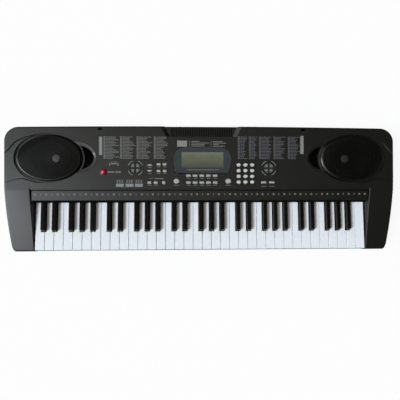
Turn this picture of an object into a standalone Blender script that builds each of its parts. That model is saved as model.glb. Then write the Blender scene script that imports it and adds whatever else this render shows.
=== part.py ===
"""A portable electronic keyboard with 61 keys, in metres.

+X is to the player's right, +Y away from the player and +Z up. The origin is on the table, under the
middle of the case. Each object is one piece of the keyboard, and each cutter is kept in its own collection.
"""

import math

import bmesh
import bpy
from mathutils import Matrix

# Keys: how many, and how they lie across the keyboard
OCTAVES = 5
WHITES_PER_OCTAVE = 7
KEY_PITCH = 0.0224
KEY_GAP = 0.0009
KEY_END_GAP = 0.0014
KEY_TOP = 0.062
KEY_SKIRT = 0.016
KEY_WALL = 0.0018
KEY_SHOWN = 0.1135
KEY_TAIL_HEIGHT = 0.004

# Black keys
BLACK_SHOWN = 0.069
BLACK_BASE_WIDTH = 0.011
BLACK_TOP_WIDTH = 0.009
BLACK_RISE = 0.0115
BLACK_NOSE_SLOPE = 0.004
BLACK_SKIRT = 0.014
BLACK_SIDE_GAP = 0.0009
BLACK_TAIL_RISE = 0.004
BLACK_WALL = 0.0015
COMB_BAR_LENGTH = 0.012
COMB_BAR_HEIGHT = 0.003
COMB_BAR_GAP = 0.0015

# How far each black key lies from the joint between its two white keys, as (joint, shift)
BLACK_KEYS = ((1, -0.0020), (2, 0.0020), (4, -0.0032), (5, 0.0), (6, 0.0032))

# The hinge line of the keys, behind and below the part that shows, and how far a key goes down
KEY_PIVOT_BEHIND = 0.0525
KEY_END_BEHIND_PIVOT = 0.004
KEY_PIVOT_DROP = 0.004

# Case
WALL = 0.0028
CHEEK_WIDTH = 0.0664
CHEEK_FRONT_DROP = 0.0015
WELL_DRAFT = math.radians(7)
LIP_REACH = 0.003
STRIP_DEPTH = 0.0250
STRIP_GAP = 0.0008
KEY_TO_STRIP = 0.0045
PANEL_DEPTH = 0.1535
PANEL_RISE = 0.022
PANEL_SLOPE = math.radians(4)
FOOT_HEIGHT = 0.003
SPLIT_HEIGHT = 0.045
SPLIT_GAP = 0.0004
RIM_HEIGHT = 0.034
REAR_CORNER = 0.034
FRONT_CORNER = 0.009
REAR_BOW = 0.003
TAPER_LENGTH = 0.178
TAPER_INSET = 0.0145
TOP_FILLET = 0.007
BOTTOM_FILLET = 0.008
PANEL_RIB = 0.006

# Note strip, between the keys and the panel
STRIP_THICKNESS = 0.004
STRIP_FALL = 0.0035
STRIP_END_GAP = 0.0006

# Speaker pods: the rim, the grille in it and the driver below. Places on the panel are measured
# from the case's side and up the panel from its front edge.
POD_FROM_SIDE = 0.106
POD_UP = 0.0764
POD_HALF_WIDTH = 0.0807
POD_HALF_DEPTH = 0.059
POD_RIM_WIDTH = 0.0034
POD_RIM_HEIGHT = 0.0025
POD_LEDGE_WIDTH = 0.005
POD_LEDGE_DEPTH = 0.0008
GRILLE_GAP = 0.0004
GRILLE_DOME = 0.008
GRILLE_THICKNESS = 0.002
GRILLE_EDGE = 0.001
DRIVER_RADIUS = 0.050
DRIVER_DEPTH = 0.034
DRIVER_FLANGE = 0.004
CONE_RADIUS = 0.0425
CONE_FLOOR_RADIUS = 0.0175
CONE_DEPTH = 0.012
MAGNET_RADIUS = 0.027
MAGNET_HEIGHT = 0.012

# Bass ports, half hidden behind the pods
PORT_FROM_POD = 0.060
PORT_HALF_WIDTH = 0.055
PORT_HALF_DEPTH = 0.0423
PORT_HOLE_HALF_WIDTH = 0.048
PORT_HOLE_HALF_DEPTH = 0.0308
PORT_RIM_HEIGHT = 0.0015

# Tray at the back edge, and the two slots for a music rest
TRAY_REAR_HALF = 0.090
TRAY_FRONT_HALF = 0.079
TRAY_LENGTH = 0.026
TRAY_DEPTH = 0.0095
SLOT_FROM_CENTRE = 0.245
SLOT_FROM_REAR = 0.0055
SLOT_WIDTH = 0.010
SLOT_LENGTH = 0.005

# Display: the opening in the panel, and the shield-shaped window over it. The window's outline is
# measured out from the opening, and its notch from the menu buttons.
WINDOW_UP = 0.0716
WINDOW_HALF_WIDTH = 0.051
WINDOW_HALF_DEPTH = 0.0191
LENS_THICKNESS = 0.0020
LENS_INSET = 0.0014
LENS_GAP = 0.0003
LENS_SIDE = 0.0192
LENS_BEYOND = 0.0117
LENS_SHOULDER_DROP = 0.005
LENS_SHOULDER_IN = 0.0092
LENS_TOP_IN = 0.0242
LENS_WAIST_RISE = 0.0068
LENS_WAIST_LENGTH = 0.006
LENS_HIP_DROP = 0.0045
LENS_HIP_IN = 0.0042
LENS_TO_MENU = 0.0034
LENS_FOOT_LENGTH = 0.0070
LENS_FOOT_WIDTH = 0.0145
LENS_CORNER = 0.003
LENS_NOTCH_CORNER = 0.008
DISPLAY_GAP = 0.0005
DISPLAY_BELOW = 0.002

# Buttons: how far they stand up, travel and clear the panel
BUTTON_HEIGHT = 0.0028
BUTTON_TRAVEL = 0.0012
BUTTON_GAP = 0.0004
BUTTON_CHAMFER = 0.0007
WEB_THICKNESS = 0.0012
WEB_GAP = 0.0006
WEB_MARGIN = 0.0016
POWER_HEIGHT = 0.005
PAD_HEIGHT = 0.0015
PAD_RADIUS = 0.0126
PAD_GROOVE = 0.002
PAD_GROOVE_DEPTH = 0.001

# Places and sizes of the buttons, up the panel and out from the middle of the case. Each gap is the
# space between a block and the one before it: out to the left the dial, modes, arrows, pad and power
# button, and in the lower row the stop and start buttons; out to the right the numbers and record pair.
MENU_CENTRE = -0.0013
MENU_PITCH = 0.0161
MENU_COUNT = 5
MENU_UP = 0.0170
MENU_ROW_PITCH = 0.0166
MENU_ROWS = 2
MENU_SIZE = (0.0120, 0.0066)
DIAL_GAP = 0.0157
DIAL_UP = 0.0204
DIAL_SIZE = (0.0146, 0.0126)
NUMBER_GAP = 0.0129
NUMBER_PITCH = 0.0164
NUMBER_COUNT = 3
NUMBER_UP = 0.0182
NUMBER_ROW_PITCH = 0.0138
NUMBER_ROWS = 4
NUMBER_SIZE = (0.0106, 0.0087)
RECORD_GAP = 0.0167
RECORD_PITCH = 0.0199
RECORD_COUNT = 2
RECORD_UP = 0.0174
RECORD_SIZE = (0.0120, 0.0060)
ARROW_GAP = 0.0100
ARROW_UP = 0.0449
ARROW_ROW_PITCH = 0.0142
ARROW_ROWS = 2
ARROW_SIZE = (0.0125, 0.0055)
MODE_GAP = 0.0156
MODE_PITCH = 0.0146
MODE_COUNT = 2
MODE_UP = 0.0447
MODE_ROW_PITCH = 0.0161
MODE_ROWS = 2
MODE_SIZE = (0.0100, 0.0064)
START_GAP = 0.0099
START_PITCH = 0.0148
START_COUNT = 2
START_UP = 0.0168
START_SIZE = (0.0100, 0.0069)
STOP_GAP = 0.0183
STOP_SIZE = 0.0090
PAD_GAP = 0.0159
PAD_UP = 0.0518
POWER_GAP = 0.0572
POWER_UP = 0.0422
POWER_SIZE = 0.0116
BUTTON_CORNER = 0.0015

# Boards
BOARD_THICKNESS = 0.0016
BOARD_GAP = 0.0008
BOARD_MARGIN = 0.006
MAIN_BOARD_WIDTH = 0.110
MAIN_BOARD_DEPTH = 0.060
MAIN_BOARD_HEIGHT = 0.018
CHIP_WIDTH = 0.022
CHIP_HEIGHT = 0.003

# Sockets at the back: the case has a round hole for each one's nose
JACK_BORE = 0.0066
SOCKET_WALL = 0.0015
JACK_HEIGHT = 0.013
JACK_LENGTH = 0.030
JACK_PITCH = 0.030
JACK_BORE_DEPTH = 0.026
INLET_BORE = 0.0062
INLET_PIN = 0.0020
INLET_DEPTH = 0.010
SOCKET_GAP = 0.0004

# Frame that carries the keys
FRAME_THICKNESS = 0.0022
FRAME_CLEAR = 0.006
FRAME_FRONT_INSET = 0.006
RAIL_DEPTH = 0.005
RAIL_GAP = 0.0005
GUIDE_WIDTH = 0.008
GUIDE_DEPTH = 0.006
GUIDE_FROM_FRONT = 0.014
GUIDE_CLEAR = 0.0045
KEY_TRAVEL = 0.0095

# Battery bay under the case, its lid and the feet
BAY_WIDTH = 0.162
BAY_DEPTH = 0.056
BAY_HEIGHT = 0.029
BAY_WALL = 0.002
BAY_FROM_RAIL = 0.010
LID_THICKNESS = 0.0022
LID_OVERLAP = 0.004
LID_GAP = 0.0005
FOOT_RADIUS = 0.011
FOOT_FROM_END = 0.060
FOOT_FROM_EDGE = 0.030
BOSS_RADIUS = 0.0042
BOSS_HOLE_RADIUS = 0.0022
BOSS_HOLE_DEPTH = 0.010
BOSS_FROM_END = 0.030
BOSS_FROM_FRONT = 0.040
BOSS_FROM_REAR = 0.018
BOSS_PITCH = 0.200
BOSS_COUNT = 4
BOSS_GAP = 0.001

# How many flat sides stand for a round one
POST_SIDES = 8
HOLE_SIDES = 12
BUTTON_SIDES = 10
PAD_SIDES = 20
DRIVER_SIDES = 20
POD_SIDES = 28
DOME_RINGS = 4
FRONT_CORNER_STEPS = 3
REAR_CORNER_STEPS = 6
TAPER_STEPS = 5
BOW_STEPS = 3

# How far a cutter runs past the surface that it cuts, how close two points are one point, and how
# sharp an edge is shaded as an edge
REACH = 0.004
WELD = 0.000001
SHARP_ANGLE = math.radians(30)

# Stands an outline drawn in XY up as a side view in YZ, with its thickness along X
STAND = Matrix(((0, 0, 1, 0), (1, 0, 0, 0), (0, 1, 0, 0), (0, 0, 0, 1)))

# Values that follow from the ones above
WHITE_COUNT = OCTAVES * WHITES_PER_OCTAVE + 1
WELL_HALF = WHITE_COUNT * KEY_PITCH / 2 + KEY_END_GAP
HALF_WIDTH = WELL_HALF + CHEEK_WIDTH
DEPTH = LIP_REACH + KEY_SHOWN + KEY_TO_STRIP + STRIP_DEPTH + STRIP_GAP + PANEL_DEPTH * math.cos(PANEL_SLOPE)
FRONT = -DEPTH / 2
REAR = DEPTH / 2
KEY_FRONT = FRONT + LIP_REACH
STRIP_FRONT = KEY_FRONT + KEY_SHOWN + KEY_TO_STRIP
PANEL_FRONT = STRIP_FRONT + STRIP_DEPTH + STRIP_GAP
PANEL_FRONT_HEIGHT = KEY_TOP + PANEL_RISE
KEY_PIVOT = KEY_FRONT + KEY_SHOWN + KEY_PIVOT_BEHIND
KEY_BACK = KEY_PIVOT + KEY_END_BEHIND_PIVOT
RAIL_FRONT = KEY_PIVOT - RAIL_DEPTH / 2
TAIL_LEVEL = RAIL_FRONT - RAIL_GAP
KEY_PIVOT_HEIGHT = KEY_TOP - KEY_PIVOT_DROP
POD_X = HALF_WIDTH - POD_FROM_SIDE
PORT_X = POD_X - PORT_FROM_POD
FRAME_TOP = RIM_HEIGHT - FRAME_CLEAR
BAY_CENTRE = RAIL_FRONT + RAIL_DEPTH + BAY_FROM_RAIL + BAY_DEPTH / 2
BAY_TOP = FOOT_HEIGHT + LID_THICKNESS + BAY_HEIGHT
FLOOR_TOP = FOOT_HEIGHT + WALL
REAR_WALL_INSIDE = REAR - REAR_BOW - WALL
MAIN_BOARD_X = -BOSS_PITCH
SOCKET_MOUTH = REAR_WALL_INSIDE + WALL / 2
SOCKET_HEIGHT = MAIN_BOARD_HEIGHT + BOARD_THICKNESS + JACK_HEIGHT / 2

CHARCOAL = ((0.045, 0.050, 0.048), 0.45)
BLACK_PLASTIC = ((0.010, 0.010, 0.010), 0.35)
GRILLE_BLACK = ((0.014, 0.014, 0.015), 0.55)
KEY_WHITE = ((0.80, 0.82, 0.86), 0.28)
BUTTON_GREY = ((0.62, 0.64, 0.62), 0.45)
PAD_GREY = ((0.06, 0.065, 0.065), 0.55)
POWER_RED = ((0.55, 0.02, 0.03), 0.35)
LENS_BLUE = ((0.03, 0.045, 0.09), 0.15)
BOARD_GREEN = ((0.03, 0.13, 0.06), 0.50)
FRAME_GREY = ((0.25, 0.25, 0.26), 0.60)
SPEAKER_GREY = ((0.05, 0.05, 0.055), 0.60)


def clear_scene():
    for thing in list(bpy.data.objects):
        bpy.data.objects.remove(thing)


def collection(name, hidden=False):
    made = bpy.data.collections.new(name)
    bpy.context.scene.collection.children.link(made)
    made.hide_render = hidden
    return made


def material(name, finish):
    colour, roughness = finish
    made = bpy.data.materials.new(name)
    made.use_nodes = True
    shader = made.node_tree.nodes["Principled BSDF"]
    shader.inputs["Base Color"].default_value = (*colour, 1)
    shader.inputs["Roughness"].default_value = roughness
    shader.inputs["Metallic"].default_value = 0
    return made


def part(name, mesh, finish, parent=None, origin=(0, 0, 0)):
    """One piece. Its mesh is drawn about the world's or its parent's origin, then moved to its own."""
    mesh.transform(Matrix.Translation(origin).inverted())
    mesh.shade_smooth()
    mesh.set_sharp_from_angle(angle=SHARP_ANGLE)
    thing = bpy.data.objects.new(name, mesh)
    mesh.materials.clear()
    mesh.materials.append(material(name, finish))
    thing.location = origin
    thing.parent = parent
    KEYBOARD.objects.link(thing)
    return thing


def cutter(name, mesh, group, parent=None):
    thing = bpy.data.objects.new(name, mesh)
    thing.parent = parent
    thing.hide_render = True
    thing.display_type = "WIRE"
    group.objects.link(thing)
    return thing


def boolean(thing, operation, group):
    """Cuts or joins everything in a collection, in one modifier."""
    modifier = thing.modifiers.new(operation.lower(), "BOOLEAN")
    modifier.operation = operation
    modifier.operand_type = "COLLECTION"
    modifier.collection = group
    modifier.solver = "EXACT"
    return modifier


def finished(bm):
    """The mesh of a closed bmesh, with its doubles merged and its faces pointing out."""
    bmesh.ops.remove_doubles(bm, verts=bm.verts, dist=WELD)
    bmesh.ops.recalc_face_normals(bm, faces=bm.faces)
    mesh = bpy.data.meshes.new("mesh")
    bm.to_mesh(mesh)
    bm.free()
    return mesh


def evaluated_mesh(thing):
    """A curve or a mesh with modifiers as a plain mesh, worked out in the workshop scene."""
    WORKSHOP.collection.objects.link(thing)
    layer = WORKSHOP.view_layers[0]
    layer.update()
    return bpy.data.meshes.new_from_object(thing.evaluated_get(layer.depsgraph))


def plate(points, low, high):
    """A flat outline in XY that stands from low to high."""
    curve = bpy.data.curves.new("outline", "CURVE")
    curve.dimensions = "2D"
    curve.fill_mode = "BOTH"
    curve.extrude = (high - low) / 2
    spline = curve.splines.new("POLY")
    spline.points.add(len(points) - 1)
    spline.use_cyclic_u = True
    for knot, (x, y) in zip(spline.points, points):
        knot.co = (x, y, 0, 1)
    drawn = bpy.data.objects.new("outline", curve)
    mesh = evaluated_mesh(drawn)
    bpy.data.objects.remove(drawn)
    bpy.data.curves.remove(curve)
    bm = bmesh.new()
    bm.from_mesh(mesh)
    bpy.data.meshes.remove(mesh)
    bmesh.ops.remove_doubles(bm, verts=bm.verts, dist=WELD)
    bmesh.ops.dissolve_limit(bm, angle_limit=0.0002, verts=bm.verts, edges=bm.edges)
    bmesh.ops.translate(bm, verts=bm.verts, vec=(0, 0, (low + high) / 2))
    return finished(bm)


def block(x_range, y_range, z_range):
    """A box between two corners."""
    bm = bmesh.new()
    bmesh.ops.create_cube(bm, size=1)
    for axis, (low, high) in enumerate((x_range, y_range, z_range)):
        for vert in bm.verts:
            vert.co[axis] = low if vert.co[axis] < 0 else high
    return finished(bm)


def cylinder(centre, radius, low, high, sides, across="Z"):
    """A round post or hole. Across is the axis that it runs along."""
    bm = bmesh.new()
    turn = {"Z": Matrix(), "Y": Matrix.Rotation(math.radians(-90), 4, "X")}[across]
    spin = Matrix.Rotation(math.pi / sides, 4, "Z")
    ends = {"radius1": radius, "radius2": radius, "depth": 1}
    bmesh.ops.create_cone(bm, cap_ends=True, segments=sides, matrix=spin, **ends)
    for vert in bm.verts:
        vert.co.z = low if vert.co.z < 0 else high
    bmesh.ops.transform(bm, verts=bm.verts, matrix=Matrix.Translation(centre) @ turn)
    return finished(bm)


def turned(profile, steps):
    """A closed profile in XZ, as (radius, height) points, turned about Z."""
    bm = bmesh.new()
    verts = [bm.verts.new((radius, 0, height)) for radius, height in profile]
    for first, second in zip(verts, verts[1:]):
        bm.edges.new((first, second))
    mesh = bpy.data.meshes.new("profile")
    bm.to_mesh(mesh)
    bm.free()
    drawn = bpy.data.objects.new("profile", mesh)
    screw = drawn.modifiers.new("screw", "SCREW")
    screw.steps = steps
    screw.render_steps = steps
    screw.use_merge_vertices = True
    screw.merge_threshold = WELD
    made = evaluated_mesh(drawn)
    bpy.data.objects.remove(drawn)
    bm = bmesh.new()
    bm.from_mesh(made)
    bmesh.ops.rotate(bm, verts=bm.verts, matrix=Matrix.Rotation(math.pi / steps, 3, "Z"))
    return finished(bm)


def merged(meshes):
    """Meshes that overlap, joined into one closed body."""
    group = bpy.data.collections.new("merged")
    WORKSHOP.collection.children.link(group)
    first = bpy.data.objects.new("merged", meshes[0])
    others = [cutter("merged", mesh, group) for mesh in meshes[1:]]
    boolean(first, "UNION", group)
    made = evaluated_mesh(first)
    for thing in [first, *others]:
        bpy.data.objects.remove(thing)
    bpy.data.collections.remove(group)
    return made


def ellipse(centre, half_width, half_depth, count):
    turns = [2 * math.pi * (i + 0.5) / count for i in range(count)]
    return [(centre[0] + half_width * math.cos(a), centre[1] + half_depth * math.sin(a)) for a in turns]


def rounded(centre, size, corner):
    """A rectangle with cut corners."""
    half_x, half_y = size[0] / 2, size[1] / 2
    cut = min(corner, half_x / 2, half_y / 2)
    quarter = [(half_x, half_y - cut), (half_x - cut, half_y)]
    signs = ((1, 1), (-1, 1), (-1, -1), (1, -1))
    points = []
    for sx, sy in signs:
        pair = quarter if sx * sy > 0 else quarter[::-1]
        points += [(centre[0] + sx * x, centre[1] + sy * y) for x, y in pair]
    return points


def offset(points, distance):
    """An anticlockwise outline moved out by distance, or in where it is negative."""
    moved = []
    count = len(points)
    for i, (x, y) in enumerate(points):
        before, after = points[i - 1], points[(i + 1) % count]
        first = math.atan2(y - before[1], x - before[0]) - math.pi / 2
        second = math.atan2(after[1] - y, after[0] - x) - math.pi / 2
        bend = math.remainder(second - first, 2 * math.pi) / 2
        middle = first + bend
        length = distance / math.cos(bend)
        moved.append((x + length * math.cos(middle), y + length * math.sin(middle)))
    return moved


def case_outline():
    """The case from above, anticlockwise: bowed back, round rear corners, straight sides, tapered front."""
    straight_end = FRONT + TAPER_LENGTH
    taper_radius = (TAPER_LENGTH ** 2 + TAPER_INSET ** 2) / (2 * TAPER_INSET)
    taper_angle = math.asin(TAPER_LENGTH / taper_radius)
    right = []
    front_turn = math.pi / 2 - taper_angle
    corner = (HALF_WIDTH - TAPER_INSET - FRONT_CORNER, FRONT + FRONT_CORNER)
    for i in range(FRONT_CORNER_STEPS + 1):
        angle = -math.pi / 2 + front_turn * i / FRONT_CORNER_STEPS
        right.append((corner[0] + FRONT_CORNER * math.cos(angle), corner[1] + FRONT_CORNER * math.sin(angle)))
    for i in range(1, TAPER_STEPS + 1):
        angle = -taper_angle * (1 - i / TAPER_STEPS)
        x = HALF_WIDTH - taper_radius * (1 - math.cos(angle))
        right.append((x, straight_end + taper_radius * math.sin(angle)))
    corner = (HALF_WIDTH - REAR_CORNER, REAR - REAR_BOW - REAR_CORNER)
    for i in range(REAR_CORNER_STEPS + 1):
        angle = math.pi / 2 * i / REAR_CORNER_STEPS
        right.append((corner[0] + REAR_CORNER * math.cos(angle), corner[1] + REAR_CORNER * math.sin(angle)))
    for i in range(BOW_STEPS - 1, 0, -1):
        share = i / BOW_STEPS
        right.append((corner[0] * share, REAR - REAR_BOW * share ** 2))
    return right + [(0, REAR)] + [(-x, y) for x, y in reversed(right)]


def case_top(inset, drop, fillet, low):
    """The upper part of the case as a block: cheeks that rise from the front, and the panel behind them."""
    highest = PANEL_FRONT_HEIGHT + PANEL_DEPTH
    bm = bmesh.new()
    bm.from_mesh(plate(offset(case_outline(), -inset), low, highest))
    front_height = KEY_TOP - CHEEK_FRONT_DROP
    cheek_angle = math.atan2(PANEL_FRONT_HEIGHT - front_height, PANEL_FRONT - FRONT)
    planes = ((FRONT, front_height, cheek_angle), (PANEL_FRONT, PANEL_FRONT_HEIGHT, PANEL_SLOPE))
    for y, height, angle in planes:
        everything = [*bm.verts, *bm.edges, *bm.faces]
        cut = bmesh.ops.bisect_plane(
            bm,
            geom=everything,
            dist=WELD,
            plane_co=(0, y, height - drop / math.cos(angle)),
            plane_no=(0, -math.sin(angle), math.cos(angle)),
            clear_outer=True,
        )
        edges = [item for item in cut["geom_cut"] if isinstance(item, bmesh.types.BMEdge)]
        bmesh.ops.contextual_create(bm, geom=edges)
    bm.normal_update()
    rim = [edge for edge in bm.edges if is_rim(edge, 1)]
    bmesh.ops.bevel(bm, geom=rim, offset=fillet, segments=3, profile=0.5, affect="EDGES", material=-1)
    return finished(bm)


def is_rim(edge, side):
    """Whether an edge joins a level face, above or below, to an upright one."""
    heights = sorted(abs(face.normal.z) for face in edge.link_faces)
    facing = max((face.normal.z * side for face in edge.link_faces), default=0)
    return len(heights) == 2 and heights[0] < 0.3 and heights[1] > 0.7 and facing > 0.7


def top_case():
    """The upper shell: two cheeks, the panel, the rims round the speakers and ports, and all the openings."""
    thing = part("top_case", case_top(0, 0, TOP_FILLET, SPLIT_HEIGHT + SPLIT_GAP), CHARCOAL)

    hollow = collection("top_case_hollow", hidden=True)
    kept = collection("top_case_kept", hidden=True)
    inside = case_top(WALL, WALL, TOP_FILLET - WALL, SPLIT_HEIGHT - REACH)
    cavity = cutter("case_cavity", inside, hollow)
    for mesh in well_blocks(WALL, PANEL_FRONT):
        cutter("cheek_walls", mesh, kept)
    rib_height = (PANEL_FRONT_HEIGHT - PANEL_RIB, PANEL_FRONT_HEIGHT + REACH)
    rib = block((-WELL_HALF, WELL_HALF), (PANEL_FRONT - REACH, PANEL_FRONT + WALL), rib_height)
    cutter("panel_rib", rib, kept)
    cutter("tray_walls", tray_block(WALL), kept)
    highest = PANEL_FRONT_HEIGHT + PANEL_DEPTH
    for x, y in boss_places():
        cutter("top_post", cylinder((x, y, 0), BOSS_RADIUS, SPLIT_HEIGHT - REACH, highest, POST_SIDES), kept)
    boolean(cavity, "DIFFERENCE", kept)
    boolean(thing, "DIFFERENCE", hollow)

    raised = collection("top_case_raised", hidden=True)
    for side in (-1, 1):
        pod = pod_outline(side)
        port = ellipse((side * PORT_X, POD_UP), PORT_HALF_WIDTH, PORT_HALF_DEPTH, POD_SIDES)
        cutter("pod_rim", plate(pod, -WALL / 2, POD_RIM_HEIGHT), raised, PANEL)
        cutter("port_rim", plate(port, -WALL / 2, PORT_RIM_HEIGHT), raised, PANEL)
    boolean(thing, "UNION", raised)

    cuts = collection("top_case_cuts", hidden=True)
    for mesh in well_blocks(0, PANEL_FRONT):
        cutter("key_well", mesh, cuts)
    cutter("tray", tray_block(0), cuts)
    for side in (-1, 1):
        pocket = pod_outline(side, POD_RIM_WIDTH)
        mouth = offset(pocket, -POD_LEDGE_WIDTH)
        cutter("grille_seat", plate(pocket, -POD_LEDGE_DEPTH, POD_RIM_HEIGHT + REACH), cuts, PANEL)
        cutter("speaker_mouth", plate(mouth, -WALL - REACH, REACH), cuts, PANEL)
        hole = ellipse((side * PORT_X, POD_UP), PORT_HOLE_HALF_WIDTH, PORT_HOLE_HALF_DEPTH, POD_SIDES)
        port = cutter("port_hole", plate(hole, -WALL - REACH, PORT_RIM_HEIGHT + REACH), cuts, PANEL)
        guard = collection("port_guard", hidden=True)
        beyond = 2 * REACH
        cutter("pod_guard", plate(pod_outline(side), -WALL - beyond, POD_RIM_HEIGHT + beyond), guard, PANEL)
        boolean(port, "DIFFERENCE", guard)
        slot = (SLOT_WIDTH, SLOT_LENGTH)
        place = (side * SLOT_FROM_CENTRE, REAR - REAR_BOW - SLOT_FROM_REAR)
        cutter("rest_slot", plate(rounded(place, slot, BUTTON_CORNER), SPLIT_HEIGHT, highest), cuts)
    window = (2 * WINDOW_HALF_WIDTH, 2 * WINDOW_HALF_DEPTH)
    cutter("window", plate(rounded((0, WINDOW_UP), window, BUTTON_CORNER), -WALL - REACH, REACH), cuts, PANEL)
    cutter("lens_seat", plate(offset(lens_outline(), LENS_GAP), -LENS_INSET - LENS_GAP, REACH), cuts, PANEL)
    for buttons in BUTTONS.values():
        for outline, _ in buttons:
            hole = plate(offset(outline, BUTTON_GAP), -WALL - REACH, REACH)
            cutter("button_hole", hole, cuts, PANEL)
    boolean(thing, "DIFFERENCE", cuts)
    return thing


def well_blocks(wall, back):
    """The well that the keys lie in, as an upright part and a part that widens above the keys."""
    half = WELL_HALF + wall
    lower = block((-half, half), (FRONT - REACH, back), (SPLIT_HEIGHT - REACH, KEY_TOP))
    height = PANEL_FRONT_HEIGHT + REACH
    spread = (height - KEY_TOP) * math.tan(WELL_DRAFT)
    bm = bmesh.new()
    bm.from_mesh(block((-half, half), (FRONT - REACH, back), (KEY_TOP, height)))
    for vert in bm.verts:
        if vert.co.z > KEY_TOP:
            vert.co.x += math.copysign(spread, vert.co.x)
    return lower, finished(bm)


def pod_outline(side, inset=0):
    """The oval speaker pod on the panel, or one smaller all round by inset."""
    return ellipse((side * POD_X, POD_UP), POD_HALF_WIDTH - inset, POD_HALF_DEPTH - inset, POD_SIDES)


def tray_block(wall):
    """The tray that is let into the panel's rear edge, wider at the back."""
    y = REAR - TRAY_LENGTH
    top = PANEL_FRONT_HEIGHT + PANEL_DEPTH
    low = panel_height(y) - TRAY_DEPTH - wall
    slope = (TRAY_REAR_HALF - TRAY_FRONT_HALF) / TRAY_LENGTH
    front_half = TRAY_FRONT_HALF + wall
    back_half = front_half + slope * (TRAY_LENGTH + wall + REACH)
    front, back = y - wall, REAR + REACH
    return plate([(-front_half, front), (front_half, front), (back_half, back), (-back_half, back)], low, top)


def panel_height(y):
    return PANEL_FRONT_HEIGHT + (y - PANEL_FRONT) * math.tan(PANEL_SLOPE)


def lens_outline():
    """The shield-shaped window over the display, anticlockwise from the notch over the menu buttons."""
    waist = WINDOW_HALF_WIDTH + LENS_SIDE
    waist_up = WINDOW_UP + LENS_WAIST_RISE
    shoulder = waist - LENS_SHOULDER_IN
    top_up = WINDOW_UP + WINDOW_HALF_DEPTH + LENS_BEYOND
    shoulder_up = top_up - LENS_SHOULDER_DROP
    hip_up = WINDOW_UP - WINDOW_HALF_DEPTH - LENS_HIP_DROP
    notch = menu_half_width() + LENS_TO_MENU
    notch_up = MENU_UP + MENU_ROW_PITCH * (MENU_ROWS - 1) + MENU_SIZE[1] / 2 + LENS_TO_MENU
    foot = notch + LENS_FOOT_WIDTH
    foot_up = notch_up - LENS_FOOT_LENGTH
    right = [
        (notch - LENS_NOTCH_CORNER, notch_up),
        (notch, foot_up),
        (foot - LENS_CORNER, foot_up),
        (foot, foot_up + LENS_CORNER),
        (waist - LENS_HIP_IN, hip_up),
        (waist, waist_up - LENS_WAIST_LENGTH),
        (waist, waist_up),
        (shoulder + LENS_CORNER, shoulder_up - LENS_SHOULDER_DROP),
        (shoulder - LENS_CORNER, shoulder_up),
        (waist - LENS_TOP_IN, top_up),
    ]
    return right + [(-x, y) for x, y in reversed(right)]


def row_half(pitch, count, width):
    """Half the width of a row of buttons, from end to end."""
    return (pitch * (count - 1) + width) / 2


def menu_half_width():
    return abs(MENU_CENTRE) + row_half(MENU_PITCH, MENU_COUNT, MENU_SIZE[0])


def grid(centre, pitch, count, up, row_pitch=0, rows=1):
    """The places of a block of buttons, the lowest row first."""
    first = centre - pitch * (count - 1) / 2
    return [(first + pitch * column, up + row_pitch * row) for row in range(rows) for column in range(count)]


def square_buttons(places, size):
    return [(rounded(place, size, BUTTON_CORNER), BUTTON_HEIGHT) for place in places]


def oval_buttons(places, size, height=BUTTON_HEIGHT, sides=BUTTON_SIDES):
    return [(ellipse(place, size[0] / 2, size[1] / 2, sides), height) for place in places]


def button_layout():
    """For each group, the outline and height of every button, from the middle of the panel outwards."""
    dial = menu_half_width() + DIAL_GAP + DIAL_SIZE[0] / 2
    edge = dial + DIAL_SIZE[0] / 2

    mode_half = row_half(MODE_PITCH, MODE_COUNT, MODE_SIZE[0])
    mode = edge + MODE_GAP + mode_half
    arrow = mode + mode_half + ARROW_GAP + ARROW_SIZE[0] / 2
    pad = arrow + ARROW_SIZE[0] / 2 + PAD_GAP + PAD_RADIUS
    power = pad + PAD_RADIUS + POWER_GAP + POWER_SIZE / 2
    stop = edge + STOP_GAP + STOP_SIZE / 2
    start = stop + STOP_SIZE / 2 + START_GAP + row_half(START_PITCH, START_COUNT, START_SIZE[0])

    number_half = row_half(NUMBER_PITCH, NUMBER_COUNT, NUMBER_SIZE[0])
    number = edge + NUMBER_GAP + number_half
    record = number + number_half + RECORD_GAP + row_half(RECORD_PITCH, RECORD_COUNT, RECORD_SIZE[0])

    menu_places = grid(MENU_CENTRE, MENU_PITCH, MENU_COUNT, MENU_UP, MENU_ROW_PITCH, MENU_ROWS)
    menu = square_buttons(menu_places, MENU_SIZE)
    menu += oval_buttons([(-dial, DIAL_UP), (dial, DIAL_UP)], DIAL_SIZE)
    number_places = grid(number, NUMBER_PITCH, NUMBER_COUNT, NUMBER_UP, NUMBER_ROW_PITCH, NUMBER_ROWS)
    function = square_buttons(grid(-arrow, 0, 1, ARROW_UP, ARROW_ROW_PITCH, ARROW_ROWS), ARROW_SIZE)
    mode_places = grid(-mode, MODE_PITCH, MODE_COUNT, MODE_UP, MODE_ROW_PITCH, MODE_ROWS)
    function += square_buttons(mode_places, MODE_SIZE)
    function += square_buttons(grid(-start, START_PITCH, START_COUNT, START_UP), START_SIZE)
    function += oval_buttons([(-stop, START_UP)], (STOP_SIZE, STOP_SIZE))
    pad_size = (2 * PAD_RADIUS, 2 * PAD_RADIUS)
    return {
        "menu_buttons": menu,
        "number_buttons": oval_buttons(number_places, NUMBER_SIZE),
        "record_buttons": square_buttons(grid(record, RECORD_PITCH, RECORD_COUNT, RECORD_UP), RECORD_SIZE),
        "function_buttons": function,
        "power_button": oval_buttons([(-power, POWER_UP)], (POWER_SIZE, POWER_SIZE), POWER_HEIGHT),
        "drum_pads_left": oval_buttons([(-pad, PAD_UP)], pad_size, PAD_HEIGHT, PAD_SIDES),
        "drum_pads_right": oval_buttons([(pad, PAD_UP)], pad_size, PAD_HEIGHT, PAD_SIDES),
    }


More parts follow.
